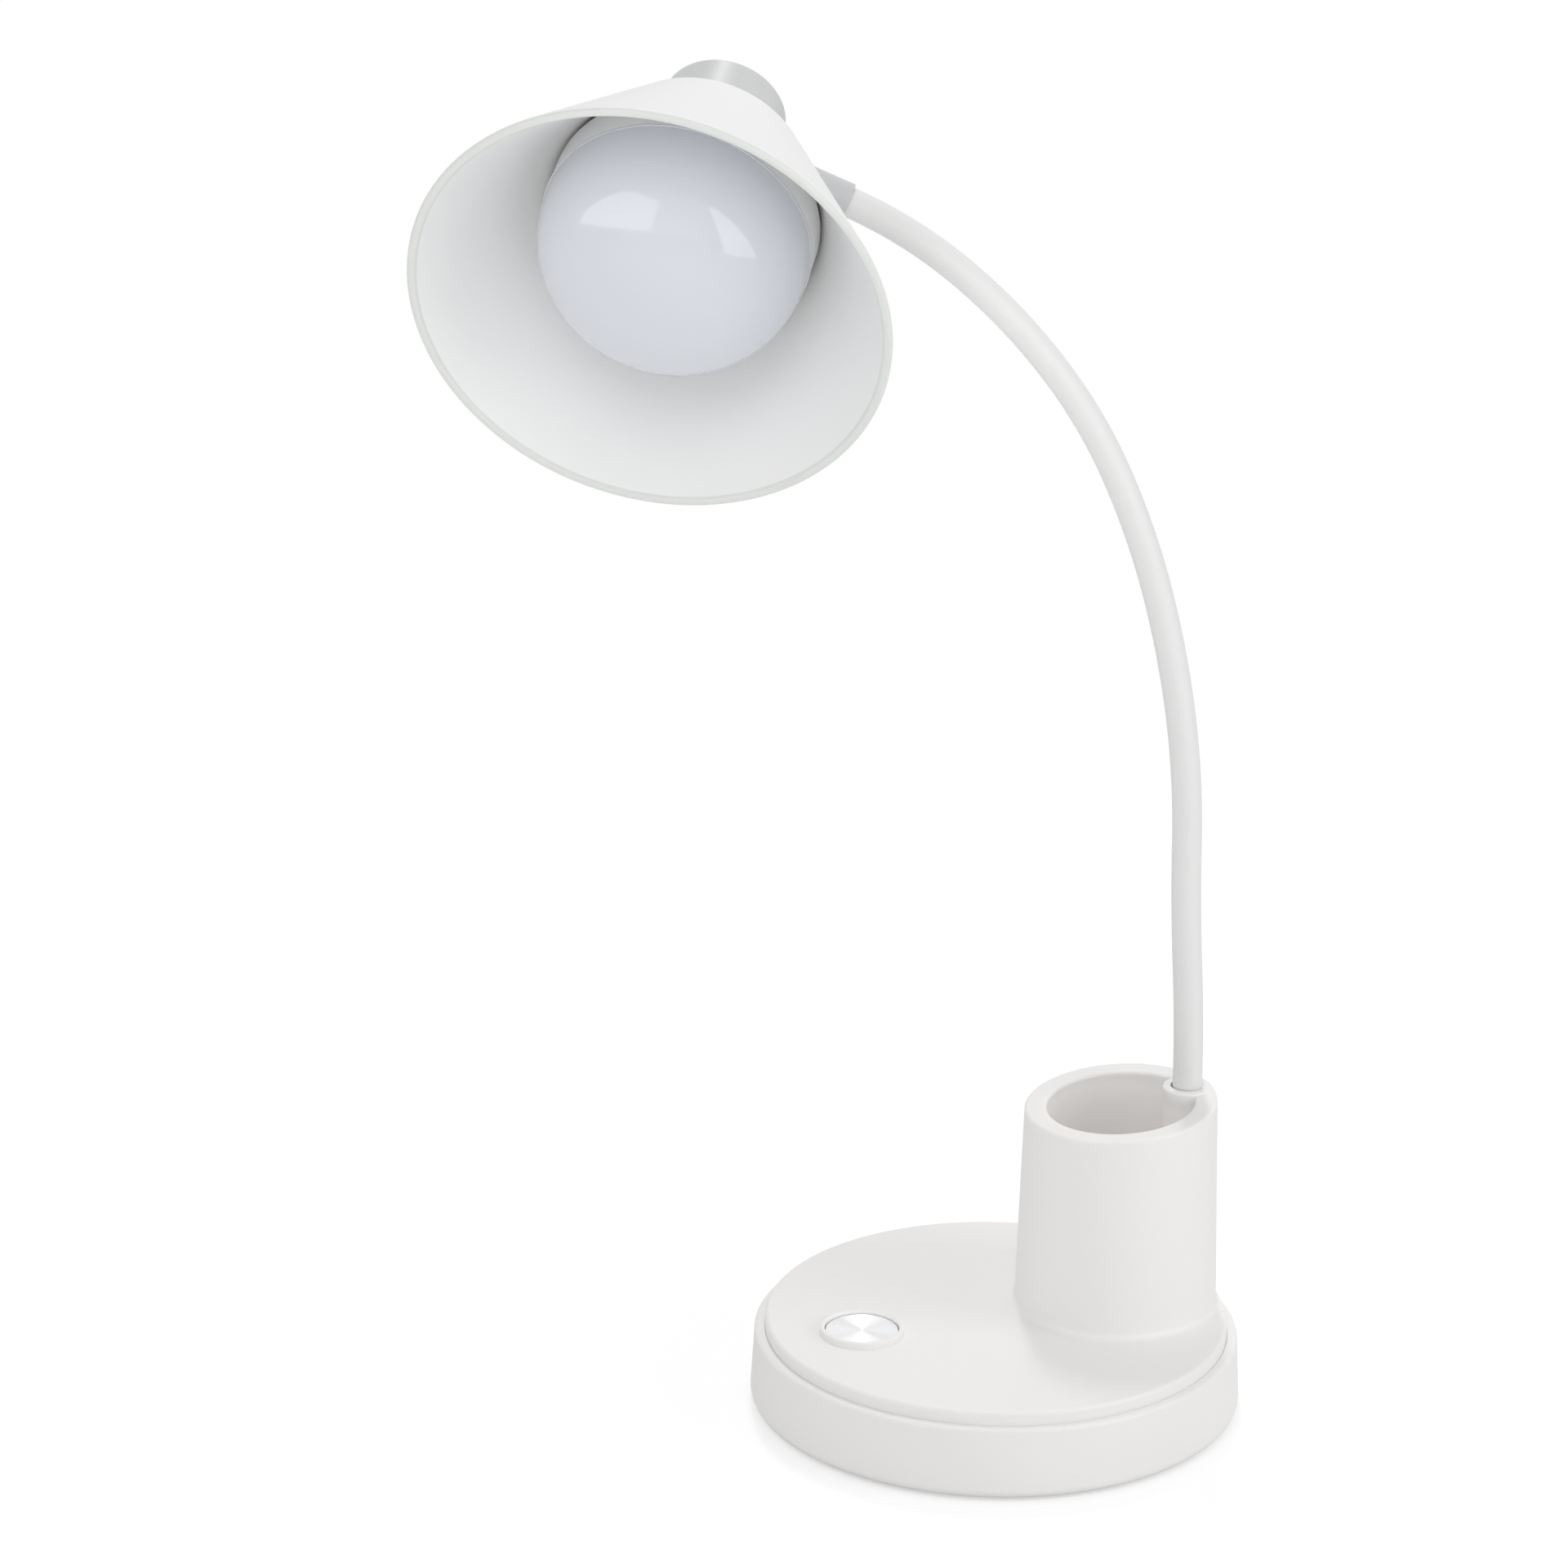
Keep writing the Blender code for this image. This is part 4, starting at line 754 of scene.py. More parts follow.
def smooth(piece: Piece, degrees: float = 32) -> Piece:
    """Shade smoothly up to an angle, with large flat faces kept flat.

    Args:
        piece: The piece.
        degrees: The greatest turn between faces that is smoothed.

    Returns:
        The same piece.
    """
    pick(piece)
    bpy.ops.object.shade_smooth_by_angle(angle=math.radians(degrees))
    return modify(piece, "WEIGHTED_NORMAL", keep_sharp=True)


def dress(piece: Piece, finish: Finish, *nodes: str) -> Piece:
    """Give a new piece its finish, and hide the CAD nodes that it stands for.

    Args:
        piece: The piece.
        finish: The finish.
        nodes: The CAD nodes that it stands for.

    Returns:
        The same piece.
    """
    piece.data.materials.clear()
    piece.data.materials.append(finish.material())
    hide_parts(*nodes)
    return piece


# The base


WHITE = MouldedPlastic("off-white moulded plastic", Slot.WHITE, (0.9, 0.889, 0.878))
HEAD_WHITE = MouldedPlastic("neutral white moulded plastic", Slot.WHITE, (0.895, 0.896, 0.895))
SLEEVE = MouldedPlastic("soft sleeve plastic", Slot.SLEEVE, (0.812, 0.817, 0.808), roughness=0.42,
                        grain_per_metre=1500, grain_depth=8e-7, gloss=0.2)
RUBBER = CellularRubber("foot pad rubber", Slot.PAD, (0.1, 0.1, 0.1))
STEEL = PlatedMetal("zinc-plated steel", Slot.STEEL, (0.55, 0.56, 0.57))


@dataclass
class Base:
    """The foot pad and the lower shell, with the slot for the power inlet."""

    pad_radius: float = 0.066
    pad_thickness: float = 0.0016
    shell_radius: float = 0.075
    shell_lift: float = 0.0008
    shell_top_radius: float = 0.0738
    shell_top: float = 0.0234
    shell_inner_radius: float = 0.0714
    lip_radius: float = 0.07055
    lip_depth: float = 0.0016
    floor_top: float = 0.0041
    recess_top: float = 0.0019
    foot_rounding: float = 0.003
    top_rounding: float = 0.0013
    lip_rounding: float = 0.0003
    seam_rounding: float = 0.0006
    clearance: float = 0.0003
    slot_width: float = 0.0098
    slot_height: float = 0.004
    slot_centre: float = 0.0125
    slot_inside: float = 0.002
    slot_outside: float = 0.001

    def pad(self) -> Piece:
        """Model the foot pad with its softened edges.

        Returns:
            The pad.
        """
        piece = turned("foot_pad_sheet", 160, [
            (0, 0), (self.pad_radius, 0, self.pad_thickness / 2),
            (self.pad_radius, self.pad_thickness, self.lip_rounding), (0, self.pad_thickness)], 5)
        return dress(smooth(piece), RUBBER, "foot_pad")

    def shell(self) -> Piece:
        """Model the shell's section, spin it and cut the inlet's slot.

        Returns:
            The shell.
        """
        recess = self.pad_radius + self.clearance
        step = self.shell_top - self.lip_depth
        piece = turned("base_side", 224, [
            (0, self.recess_top), (recess, self.recess_top), (recess, self.shell_lift, self.lip_rounding),
            (self.shell_radius, self.shell_lift, self.foot_rounding),
            (self.shell_top_radius, self.shell_top, self.top_rounding),
            (self.lip_radius, self.shell_top, self.seam_rounding), (self.lip_radius, step),
            (self.shell_inner_radius, step), (self.shell_inner_radius, self.floor_top), (0, self.floor_top)])
        slot = Inlet.bar("slot", self.slot_width, self.slot_height, self.slot_centre,
                         self.shell_inner_radius - self.slot_inside, self.shell_radius + self.slot_outside)
        combine(piece, slot, Joining.CUT)
        return dress(smooth(piece), WHITE, "lower_shell")

    def build(self) -> list[Piece]:
        """Build both pieces on the base body."""
        return [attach(piece, "base") for piece in (self.pad(), self.shell())]


# Just under the half height, so that the two arcs of a round end don't meet
ROUND_END_SHARE = 0.998
# A face whose normal has more than this along Y looks to the back
FACING_BACK = 0.9


@dataclass
class Inlet:
    """The power inlet: a drawn steel shell with round ends and a tongue in it."""

    width: float = 0.009
    height: float = 0.0032
    mouth: float = 0.0732
    depth: float = 0.0074
    wall: float = 0.0004
    centre: float = 0.0125
    tongue_thickness: float = 0.0007

    @staticmethod
    def bar(name: str, width: float, height: float, centre: float, front: float, back: float) -> Piece:
        """Model a bar with round ends that lies along Y.

        Args:
            name: The piece's name.
            width: Its size across X.
            height: Its size across Z.
            centre: The height of its middle.
            front: The Y of its front face.
            back: The Y of its back face.

        Returns:
            The closed bar.
        """
        clear()
        bpy.ops.mesh.primitive_plane_add(size=1)
        place = Matrix.Translation((0, front, centre)) @ Matrix.Rotation(math.pi / 2, 4, "X")
        piece = edit(put(named(name), place @ Matrix.Diagonal((width, height, 1, 1))))
        bpy.ops.mesh.bevel(offset=height / 2 * ROUND_END_SHARE, offset_type="OFFSET", segments=8,
                           affect="VERTICES")
        bpy.ops.mesh.select_all(action="SELECT")
        extrude(0, back - front, 0)
        return close(piece)

    def build(self) -> list[Piece]:
        """Model the shell, sink its mouth by inset and extrude, and add the tongue.

        Returns:
            The pieces.
        """
        inner = self.mouth - self.depth
        piece = edit(self.bar("inlet_shell", self.width, self.height, self.centre, inner, self.mouth))
        bpy.ops.mesh.select_mode(type="FACE")
        for face in bmesh.from_edit_mesh(piece.data).faces:
            face.select_set(face.normal.y > FACING_BACK)
        bmesh.update_edit_mesh(piece.data)
        bpy.ops.mesh.inset(thickness=self.wall, depth=0)
        extrude(0, self.wall - self.depth, 0)
        close(piece)
        tongue = self.bar("tongue", self.width - self.height, self.tongue_thickness, self.centre,
                          inner + self.wall / 2, self.mouth - self.tongue_thickness)
        combine(piece, tongue, Joining.ADD)
        return [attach(dress(smooth(piece, 40), STEEL, "inlet_socket"), "base")]


@dataclass
class Cover:
    """The top moulding: plate, cup with its sloping rim, arm post and key ring in one."""

    plate_radius: float = 0.0706
    plate_top: float = 0.0275
    plate_under: float = 0.0251
    plate_rounding: float = 0.0012
    skirt_inner_radius: float = 0.0686
    skirt_bottom: float = 0.0191
    cup_offset: float = 0.039
    cup_foot_radius: float = 0.031
    cup_foot_fillet: float = 0.0025
    cup_edge_margin: float = 0.0002
    rim_radius: float = 0.0294
    rim_height: float = 0.093
    rim_rounding: float = 0.0011
    rim_slope: float = math.radians(4.5)
    well_radius: float = 0.0226
    well_floor_radius: float = 0.022
    well_floor: float = 0.03
    well_rounding: float = 0.002
    post_offset: float = 0.0607
    post_radius: float = 0.0076
    post_top: float = 0.096
    post_rounding: float = 0.0009
    saddle_height: float = 0.0006
    saddle_reach: float = 0.006
    socket_radius: float = 0.0051
    socket_depth: float = 0.012
    key_offset: float = 0.0435
    ring_radius: float = 0.0129
    ring_height: float = 0.002
    hole_radius: float = 0.0114
    ring_rounding_share: float = 0.6
    overlap: float = 0.0012
    root: float = 0.0004
    flange: float = 0.0004
    sink: float = 0.00005
    cutter_margin: float = 0.001
    cutter_reach: float = 0.01
    # Painted light: the inside of the cup's well is painted lighter than the white moulding
    painted_well_light: Colour = (0.985, 0.965, 0.95)

    def plate(self) -> Piece:
        """Model the plate with its skirt and rounded shoulder.

        Returns:
            The plate.
        """
        return turned("cup_cover_moulding", 224, [
            (0, self.plate_under), (self.skirt_inner_radius, self.plate_under),
            (self.skirt_inner_radius, self.skirt_bottom), (self.plate_radius, self.skirt_bottom),
            (self.plate_radius, self.plate_top, self.plate_rounding), (0, self.plate_top)])

    def cup(self) -> Piece:
        """Model the cup in one spin, tilt its rim and trim its foot to the plate's edge.

        Returns:
            The cup.
        """
        sunk = self.plate_top - self.overlap
        foot = self.plate_top - self.sink
        flange = self.cup_foot_radius + self.cup_foot_fillet + self.flange
        piece = edit(turned("cup", 256, [
            (0, self.well_floor), (self.well_floor_radius, self.well_floor, self.well_rounding),
            (self.well_radius, self.rim_height, self.rim_rounding),
            (self.rim_radius, self.rim_height, self.rim_rounding),
            (self.cup_foot_radius, foot, self.cup_foot_fillet), (flange, foot), (flange, sunk), (0, sunk)]))
        rim = self.rim_height - 2 * self.rim_rounding
        select(piece, lambda place: place.z > rim)
        bpy.ops.transform.rotate(value=-self.rim_slope, orient_axis="X",
                                 center_override=(0, 0, self.rim_height))
        post = Vector((0, self.post_offset - self.cup_offset, 0))
        select(piece, lambda place: place.z > rim
               and (place * Vector((1, 1, 0)) - post).length < self.post_radius)
        bpy.ops.transform.translate(value=(0, 0, self.saddle_height), use_proportional_edit=True,
                                    proportional_edit_falloff="SMOOTH", proportional_size=self.saddle_reach)
        bpy.ops.object.mode_set(mode="OBJECT")
        put(piece, Matrix.Translation((0, self.cup_offset, 0)))
        edge = cylinder("edge", 224, self.plate_radius - self.cup_edge_margin, sunk - self.cutter_margin,
                        self.rim_height + self.cutter_reach)
        return combine(piece, edge, Joining.KEEP)

    def post(self) -> Piece:
        """Model the arm's post with its socket and rounded collar.

        Returns:
            The post.
        """
        low = self.plate_under + self.root
        floor = self.post_top - self.socket_depth
        piece = turned("post", 112, [
            (0, floor), (self.socket_radius, floor),
            (self.socket_radius, self.post_top, self.post_rounding / 3),
            (self.post_radius, self.post_top, self.post_rounding), (self.post_radius, low), (0, low)], 6)
        return put(piece, Matrix.Translation((0, self.post_offset, 0)))

    def key_ring(self) -> tuple[Piece, Piece]:
        """Model the raised ring round the key, and the tool that opens the plate for it.

        Returns:
            The ring and the tool.
        """
        low = self.plate_under + self.root
        high = self.plate_top + self.ring_height
        half = (self.ring_radius - self.hole_radius) / 2
        rounding = half * self.ring_rounding_share
        ring = turned("key_ring", 112, [
            (self.hole_radius, low), (self.hole_radius, high, rounding),
            (self.ring_radius, high, rounding), (self.ring_radius, low)], 6, closed=True)
        margin = 2 * self.cutter_margin
        opening = cylinder("opening", 112, self.hole_radius + half, low - margin, high + margin)
        place = Matrix.Translation((0, -self.key_offset, 0))
        return put(ring, place), put(opening, place)

    def build(self) -> list[Piece]:
        """Join the moulding's shapes into one piece.

        Returns:
            The pieces.
        """
        piece = self.plate()
        ring, opening = self.key_ring()
        combine(piece, opening, Joining.CUT)
        for added in (ring, self.cup(), self.post()):
            combine(piece, added, Joining.ADD)
        axis = Matrix.Translation((0, self.cup_offset, 0))
        # The cup's well gets painted light: a lighter tone inside it, down from the rim
        finish = PaintedLightAndShadePlastic(
            "cup plastic with painted well light", Slot.WHITE, WHITE.colour, frame=rows(axis), second=self.painted_well_light,
            low=self.plate_top, high=self.rim_height - self.rim_rounding,
            within=(self.well_radius + self.rim_radius) / 2, fade=self.rim_rounding * 3)
        return [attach(dress(smooth(piece, 30), finish, "cup_cover"), "base")]


@dataclass
class Key:
    """The round spun face of the on/off key."""

    offset: float = 0.0435
    radius: float = 0.0111
    top: float = 0.0283
    low: float = 0.0277
    chamfer: float = 0.00022
    dish: float = 0.00012
    flat_share: float = 0.6
    flat_depth_share: float = 0.8

    def build(self) -> list[Piece]:
        """Model the disc with a soft edge and a slightly sunk middle.

        Returns:
            The pieces.
        """
        piece = turned("key_face", 128, [
            (0, self.low), (self.radius, self.low), (self.radius, self.top, self.chamfer),
            (self.radius * self.flat_share, self.top - self.dish * self.flat_depth_share),
            (0, self.top - self.dish)], 4)
        put(piece, Matrix.Translation((0, -self.offset, 0)))
        finish = SpunMetal("spun aluminium", Slot.SPUN, (0.97, 0.973, 0.985), centre=(0, -self.offset, 0))
        return [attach(dress(smooth(piece), finish, "key_disc"), "key")]


# The arm


@dataclass
class Arm:
    """The gooseneck's sleeve: seven tubes that each bend over one of its joints."""

    foot: tuple[float, float, float] = (0, 0.0607, 0.096)
    plane_turn: float = math.radians(22.35)
    link_length: float = 0.0394
    turns: tuple[float, ...] = (3.5, -3, 7.5, 7, 9, 14, 12.5, 16.5)
    radius: float = 0.0045
    wall: float = 0.001
    socket_reach: float = 0.0117
    grip: float = 0.0077
    bend_reach: float = 0.0125
    sides: int = 48
    steps: int = 12

    def along(self, turn: float, share: float) -> Matrix:
        """Give the frame at a share of a link's length, in the link's own frame.

        Args:
            turn: How many degrees the link turns.
            share: The share of its length.

        Returns:
            The frame.
        """
        angle = math.radians(turn) * share
        radius = self.link_length / math.radians(turn)
        place = Matrix.Translation((radius * (1 - math.cos(angle)), 0, radius * math.sin(angle)))
        return place @ Matrix.Rotation(angle, 4, "Y")

    def frames(self) -> list[Matrix]:
        """List the frames of the links' feet and of the arm's end, +Z along the arm.

        Returns:
            The frames in order.
        """
        frame = Matrix.Translation(self.foot) @ Matrix.Rotation(-math.pi / 2 - self.plane_turn, 4, "Z")
        listed = [frame]
        for turn in self.turns:
            frame = frame @ self.along(turn, 1)
            listed.append(frame)
        return listed

    def sweep(self, frame: Matrix, turn: float, share: float) -> None:
        """Spin the selected ring on along an arc of a link, in edit mode.

        Args:
            frame: The link's frame.
            turn: How many degrees the link turns.
            share: The share of its length.
        """
        centre = frame @ Vector((self.link_length / math.radians(turn), 0, 0))
        axis = frame.to_3x3() @ Vector((0, 1, 0))
        bpy.ops.mesh.spin(steps=self.steps, angle=-math.radians(turn) * share, center=centre, axis=axis)

    def tube(self, joint: int, frames: list[Matrix]) -> Piece:
        """Model the tube from the middle of one link to the middle of the next.

        Args:
            joint: The number of the joint that the tube bends over, from 1.
            frames: The frames of all the links.

        Returns:
            The tube with its wall.
        """
        before, after = self.turns[joint - 1], self.turns[joint]
        first, last = joint == 1, joint == len(self.turns) - 1
        start = frames[0] if first else frames[joint - 1] @ self.along(before, 0.5)
        low = Matrix.Translation((0, 0, -self.socket_reach)) if first else Matrix.Identity(4)
        clear()
        bpy.ops.mesh.primitive_circle_add(vertices=self.sides, radius=self.radius, fill_type="NOTHING")
        piece = edit(put(named(f"sleeve_{joint}"), start @ low))
        if first:
            extrude(*start.to_3x3() @ Vector((0, 0, self.socket_reach)))
        self.sweep(frames[joint - 1], before, 1 if first else 0.5)
        self.sweep(frames[joint], after, 1 if last else 0.5)
        if last:
            extrude(*frames[-1].to_3x3() @ Vector((0, 0, self.grip)))
        modify(close(piece), "SOLIDIFY", thickness=self.wall, offset=-1, use_even_offset=True)
        return smooth(piece)

    def build(self) -> list[Piece]:
        """Build the tubes, each curved over its joint.

        Returns:
            The pieces.
        """
        frames = self.frames()
        pieces = []
        for joint in range(1, len(self.turns)):
            nodes = [f"arm_sleeve_{joint - 1}"]
            if joint == len(self.turns) - 1:
                nodes.append(f"arm_sleeve_{joint}")
            piece = dress(self.tube(joint, frames), SLEEVE, *nodes)
            middle = frames[joint].translation
            reach = frames[joint].to_3x3() @ Vector((0, 0, self.bend_reach))
            middle - reach
            middle + reach
            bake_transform(piece)
            pieces.append(piece)
        return pieces


# The head


@dataclass
class Head:
    """Ferrule, neck, cone shade, lamp housing and diffuser dome, round the shade's axis."""

    arm_end: Matrix
    ferrule_reach: float = 0.0434
    twist: float = math.radians(66.3)
    ferrule_radius: float = 0.0055
    ferrule_bore: float = 0.0048
    ferrule_grip: float = 0.008
    spigot_radius: float = 0.0036
    spigot_reach: float = 0.0112
    lead_bore: float = 0.0017
    neck_radius: float = 0.0186
    neck_back: float = -0.0163
    neck_wall: float = 0.002
    neck_rounding: float = 0.0018
    bore_margin: float = 0.001
    boss_radius: float = 0.0064
    boss_reach: float = 0.0202
    boss_rounding: float = 0.00045
    shade_back: float = 0.0097
    shade_back_radius: float = 0.0302
    shade_back_wall: float = 0.0024
    shade_back_rounding: float = 0.0014
    shade_rim: float = 0.0817
    shade_rim_radius: float = 0.0717
    shade_rim_inner_radius: float = 0.0687
    shade_rim_rounding: float = 0.00108
    shade_hole_radius: float = 0.006
    housing_back: float = 0.0124
    housing_bend: float = 0.0334687
    housing_front: float = 0.0453687
    housing_radius: float = 0.0397
    housing_mouth_radius: float = 0.0379
    housing_wall: float = 0.002
    housing_rounding: float = 0.004
    lining_rim_radius: float = 0.0675
    led_seat: float = 0.0399687
    led_board_thickness: float = 0.0012
    seat_thickness: float = 0.0015
    seat_width: float = 0.004
    dome_band: float = 0.002
    dome_lip: float = 0.0003
    dome_lip_height: float = 0.0007
    dome_spigot: float = 0.0032
    dome_tip: float = 0.0814687
    dome_wall: float = 0.0014
    dome_fullness: float = 2.25
    gap: float = 0.0003
    shade_gloss: float = 0.15
    bend: float = 0.0003
    # Painted shade: the rim's face is painted a darker grey-green than the shade's white
    painted_rim_shade: Colour = (0.76, 0.775, 0.75)
    painted_rim_shade_depth: float = 0.0012
    sideways: Matrix = field(default_factory=lambda: Matrix.Rotation(math.pi / 2, 4, "Y"))
    place: Matrix = field(init=False)
    grey: Finish = field(init=False)

    def __post_init__(self) -> None:
        """Work out the head's frame: Z out of the shade, X on along the ferrule."""
        centre = self.arm_end @ Matrix.Translation((0, 0, self.ferrule_reach))
        turn = centre.to_3x3()
        onward = turn @ Vector((0, 0, 1))
        opening = turn @ Vector((math.cos(self.twist), math.sin(self.twist), 0))
        axes = Matrix((onward, opening.cross(onward), opening)).transposed()
        self.place = Matrix.Translation(centre.translation) @ axes.to_4x4()
        frame = rows(self.place)
        self.grey = SatinCylinder("pale grey satin plastic", Slot.GREY, (0.62, 0.636, 0.63), frame)

    @property
    def slope(self) -> float:
        """Give how much the shade's wall widens for each metre forward."""
        return (self.shade_rim_radius - self.shade_back_radius) / (self.shade_rim - self.shade_back)

    def ferrule(self) -> Piece:
        """Model the ferrule with its bore, shoulder and spigot.

        Returns:
            The ferrule.
        """
        shoulder = -self.boss_reach - self.gap
        low = -self.ferrule_reach
        grip = low + self.ferrule_grip
        piece = turned("ferrule_collar", 80, [
            (self.ferrule_bore, low, self.bend / 2), (self.ferrule_radius, low, self.bend),
            (self.ferrule_radius, shoulder, self.bend), (self.spigot_radius, shoulder),
            (self.spigot_radius, -self.spigot_reach, self.bend),
            (self.lead_bore, -self.spigot_reach, self.bend),
            (self.lead_bore, grip), (self.ferrule_bore, grip)], 4, closed=True)
        along = self.place @ self.sideways
        finish = SatinCylinder("pale grey satin collar", Slot.GREY, (0.58, 0.595, 0.6), rows(along))
        piece = dress(smooth(put(piece, along)), finish, "ferrule")
        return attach(piece, f"arm_link_{len(Arm().turns) - 1}")

    def neck(self) -> Piece:
        """Model the neck's cup, and join and bore its swivel boss.

        Returns:
            The neck.
        """
        front = self.shade_back - self.gap
        inner = self.neck_radius - self.neck_wall
        floor = self.neck_back + self.neck_wall
        piece = turned("neck_cup", 144, [
            (0, self.neck_back), (self.neck_radius, self.neck_back, self.neck_rounding),
            (self.neck_radius, front, self.bend), (inner, front), (inner, floor, self.bend), (0, floor)])
        boss = turned("boss", 80, [
            (0, -self.boss_reach), (self.boss_radius, -self.boss_reach, self.boss_rounding),
            (self.boss_radius, -inner - self.gap), (0, -inner - self.gap)], 5)
        combine(piece, put(boss, self.sideways), Joining.ADD)
        bore = cylinder("bore", 80, self.spigot_radius + self.gap, -self.boss_reach - self.bore_margin,
                        -inner + 2 * self.bore_margin)
        combine(piece, put(bore, self.sideways), Joining.CUT)
        return dress(smooth(put(piece, self.place)), self.grey, "neck")

    def shade(self) -> Piece:
        """Model the cone with its rounded rim and flat back wall.

        Returns:
            The shade.
        """
        floor = self.shade_back + self.shade_back_wall
        floor_radius = self.shade_rim_inner_radius - self.slope * (self.shade_rim - floor)
        piece = turned("cone_shade", 240, [
            (self.shade_hole_radius, self.shade_back),
            (self.shade_back_radius, self.shade_back, self.shade_back_rounding),
            (self.shade_rim_radius, self.shade_rim, self.shade_rim_rounding),
            (self.shade_rim_inner_radius, self.shade_rim, self.shade_rim_rounding),
            (floor_radius, floor, self.bend), (self.shade_hole_radius, floor)], closed=True)
        # The rim's face gets painted shade, a darker tone down to the given depth from the rim
        finish = PaintedLightAndShadePlastic("lampshade plastic with painted rim shade", Slot.WHITE, HEAD_WHITE.colour, gloss=self.shade_gloss,
                                frame=rows(self.place), second=self.painted_rim_shade,
                                low=self.shade_rim - self.painted_rim_shade_depth, fade=self.bend)
        return dress(smooth(put(piece, self.place)), finish, "shade")

    def housing(self) -> Piece:
        """Model the lamp housing with the seat of the LED board.

        Returns:
            The housing.
        """
        floor = self.housing_back + self.housing_wall
        outside, inside = (self.lining_rim_radius - self.slope * (self.shade_rim - height)
                           for height in (self.housing_back, floor))
        mouth = self.housing_mouth_radius
        ledge = mouth - self.seat_width
        seat = self.led_seat - self.seat_thickness
        piece = turned("lamp_bowl", 176, [
            (self.shade_hole_radius, self.housing_back), (outside, self.housing_back, self.bend),
            (self.housing_radius, self.housing_bend, self.housing_rounding),
            (self.housing_radius, self.housing_front, self.bend), (mouth, self.housing_front, self.bend / 2),
            (mouth, self.led_seat), (ledge, self.led_seat), (ledge, seat), (mouth, seat),
            (mouth, self.housing_bend + self.housing_wall / 2),
            (inside - self.housing_wall / self.slope, floor),
            (self.shade_hole_radius, floor)], 6, closed=True)
        return dress(smooth(put(piece, self.place)), HEAD_WHITE, "lamp_housing")

    def dome_points(self, radius: float, tip: float, steps: int = 30) -> Outline:
        """List the points of the full dome's curve, from its edge to its tip.

        Args:
            radius: The radius of its edge.
            tip: The height of its tip.
            steps: How many segments it gets.

        Returns:
            The (radius, height) points.
        """
        low = self.housing_front + self.gap + self.dome_band
        power = 2 / self.dome_fullness
        angles = [math.pi / 2 * step / steps for step in range(steps)]
        curve = [(radius * math.cos(angle) ** power, low + (tip - low) * math.sin(angle) ** power)
                 for angle in angles]
        return [*curve, (0.0, tip)]

    def dome(self) -> Piece:
        """Model the diffuser with its lip and the spigot that snaps into the housing.

        Returns:
            The diffuser.
        """
        edge = self.housing_front + self.gap
        spigot = self.housing_mouth_radius - self.gap
        root = spigot - self.dome_wall
        low = edge - self.dome_spigot
        lip = self.housing_radius + self.dome_lip
        chamfer = self.bend / 3
        top = edge + self.dome_lip_height
        outer = self.dome_points(self.housing_radius, self.dome_tip)
        inner = self.dome_points(self.housing_radius - self.dome_wall, self.dome_tip - self.dome_wall)
        piece = spun("opal_dome", [
            (spigot, edge), (lip - chamfer, edge), (lip, edge + chamfer), (lip, top),
            (lip - chamfer, top + chamfer), (self.housing_radius, top + chamfer), *outer, *reversed(inner),
            (root, edge + self.dome_band / 2), (root, low), (spigot, low)], 160)
        finish = OpalPlastic("glossy opal plastic", Slot.DIFFUSER, (0.7, 0.722, 0.772))
        return dress(smooth(put(piece, self.place)), finish, "diffuser_dome")

    def build(self) -> list[Piece]:
        """Build the head's pieces on their bodies."""
        turning = [self.neck(), self.shade(), self.housing(), self.dome()]
        return [self.ferrule(), *(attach(piece, "head") for piece in turning)]


# Pieces kept from the frame


@dataclass
class KeptNodes:
    """The CAD nodes that show as they are, mostly inside, each with a finish of its slot."""

    record: dict[str, Any]
    nodes: dict[str, Piece]
    head: Head

    def finishes(self) -> dict[Slot, Finish]:
        """Give the finish for each slot of the record.

        Returns:
            The finishes by slot.
        """
        board_top = self.head.led_seat + self.head.gap + self.head.led_board_thickness
        used: tuple[Finish, ...] = (
            RUBBER, WHITE, SLEEVE, STEEL, self.head.grey,
            CellularRubber("adhesive foam sheet", Slot.TAPE, (0.8, 0.76, 0.6), cells_per_metre=2600),
            PlatedMetal("dark raw casting", Slot.IRON, (0.2, 0.2, 0.21), roughness=0.6,
                        grain_per_metre=420, grain_depth=1.2e-4),
            Laminate("green laminate", Slot.BOARD, (0.05, 0.25, 0.12)),
            MouldedPlastic("black component body", Slot.BLACK, (0.03, 0.03, 0.03), roughness=0.5),
            MouldedPlastic("natural nylon", Slot.CONNECTOR, (0.83, 0.82, 0.79), roughness=0.5),
            MouldedPlastic("lead insulation", Slot.LEAD, (0.75, 0.75, 0.74), roughness=0.3),
            PlatedMetal("plain aluminium", Slot.SPUN, (0.91, 0.92, 0.93)),
            PlatedMetal("wound core steel", Slot.CORE, (0.42, 0.43, 0.45), roughness=0.4,
                        grain_per_metre=600, grain_depth=6e-5, stretch=(0.1, 0.1, 1)),
            LedFace("white masked board", Slot.LED_FACE, (0.85, 0.85, 0.84), rows(self.head.place),
                    board_top),
            OpalPlastic("opal plastic", Slot.DIFFUSER, (0.82, 0.84, 0.88)),
        )
        return {finish.slot: finish for finish in used}

    def build(self) -> list[Piece]:
        """Put each node's finish in its material slots.

        Returns:
            The pieces.
        """
        finishes = self.finishes()
        slots = {entry["node"]: Slot(entry["material_slot"]) for entry in self.record["subparts"]}
        kept = sorted(self.nodes.items())
        for name, node in kept:
            for holder in node.material_slots:
                holder.material = finishes[slots[name]].material()
        return [node for _, node in kept]


# Studio and camera


# Where the head hangs, seen from the camera's side: to the right, away and up
HEAD_PLACE = (-0.104, -0.036, 0.38)


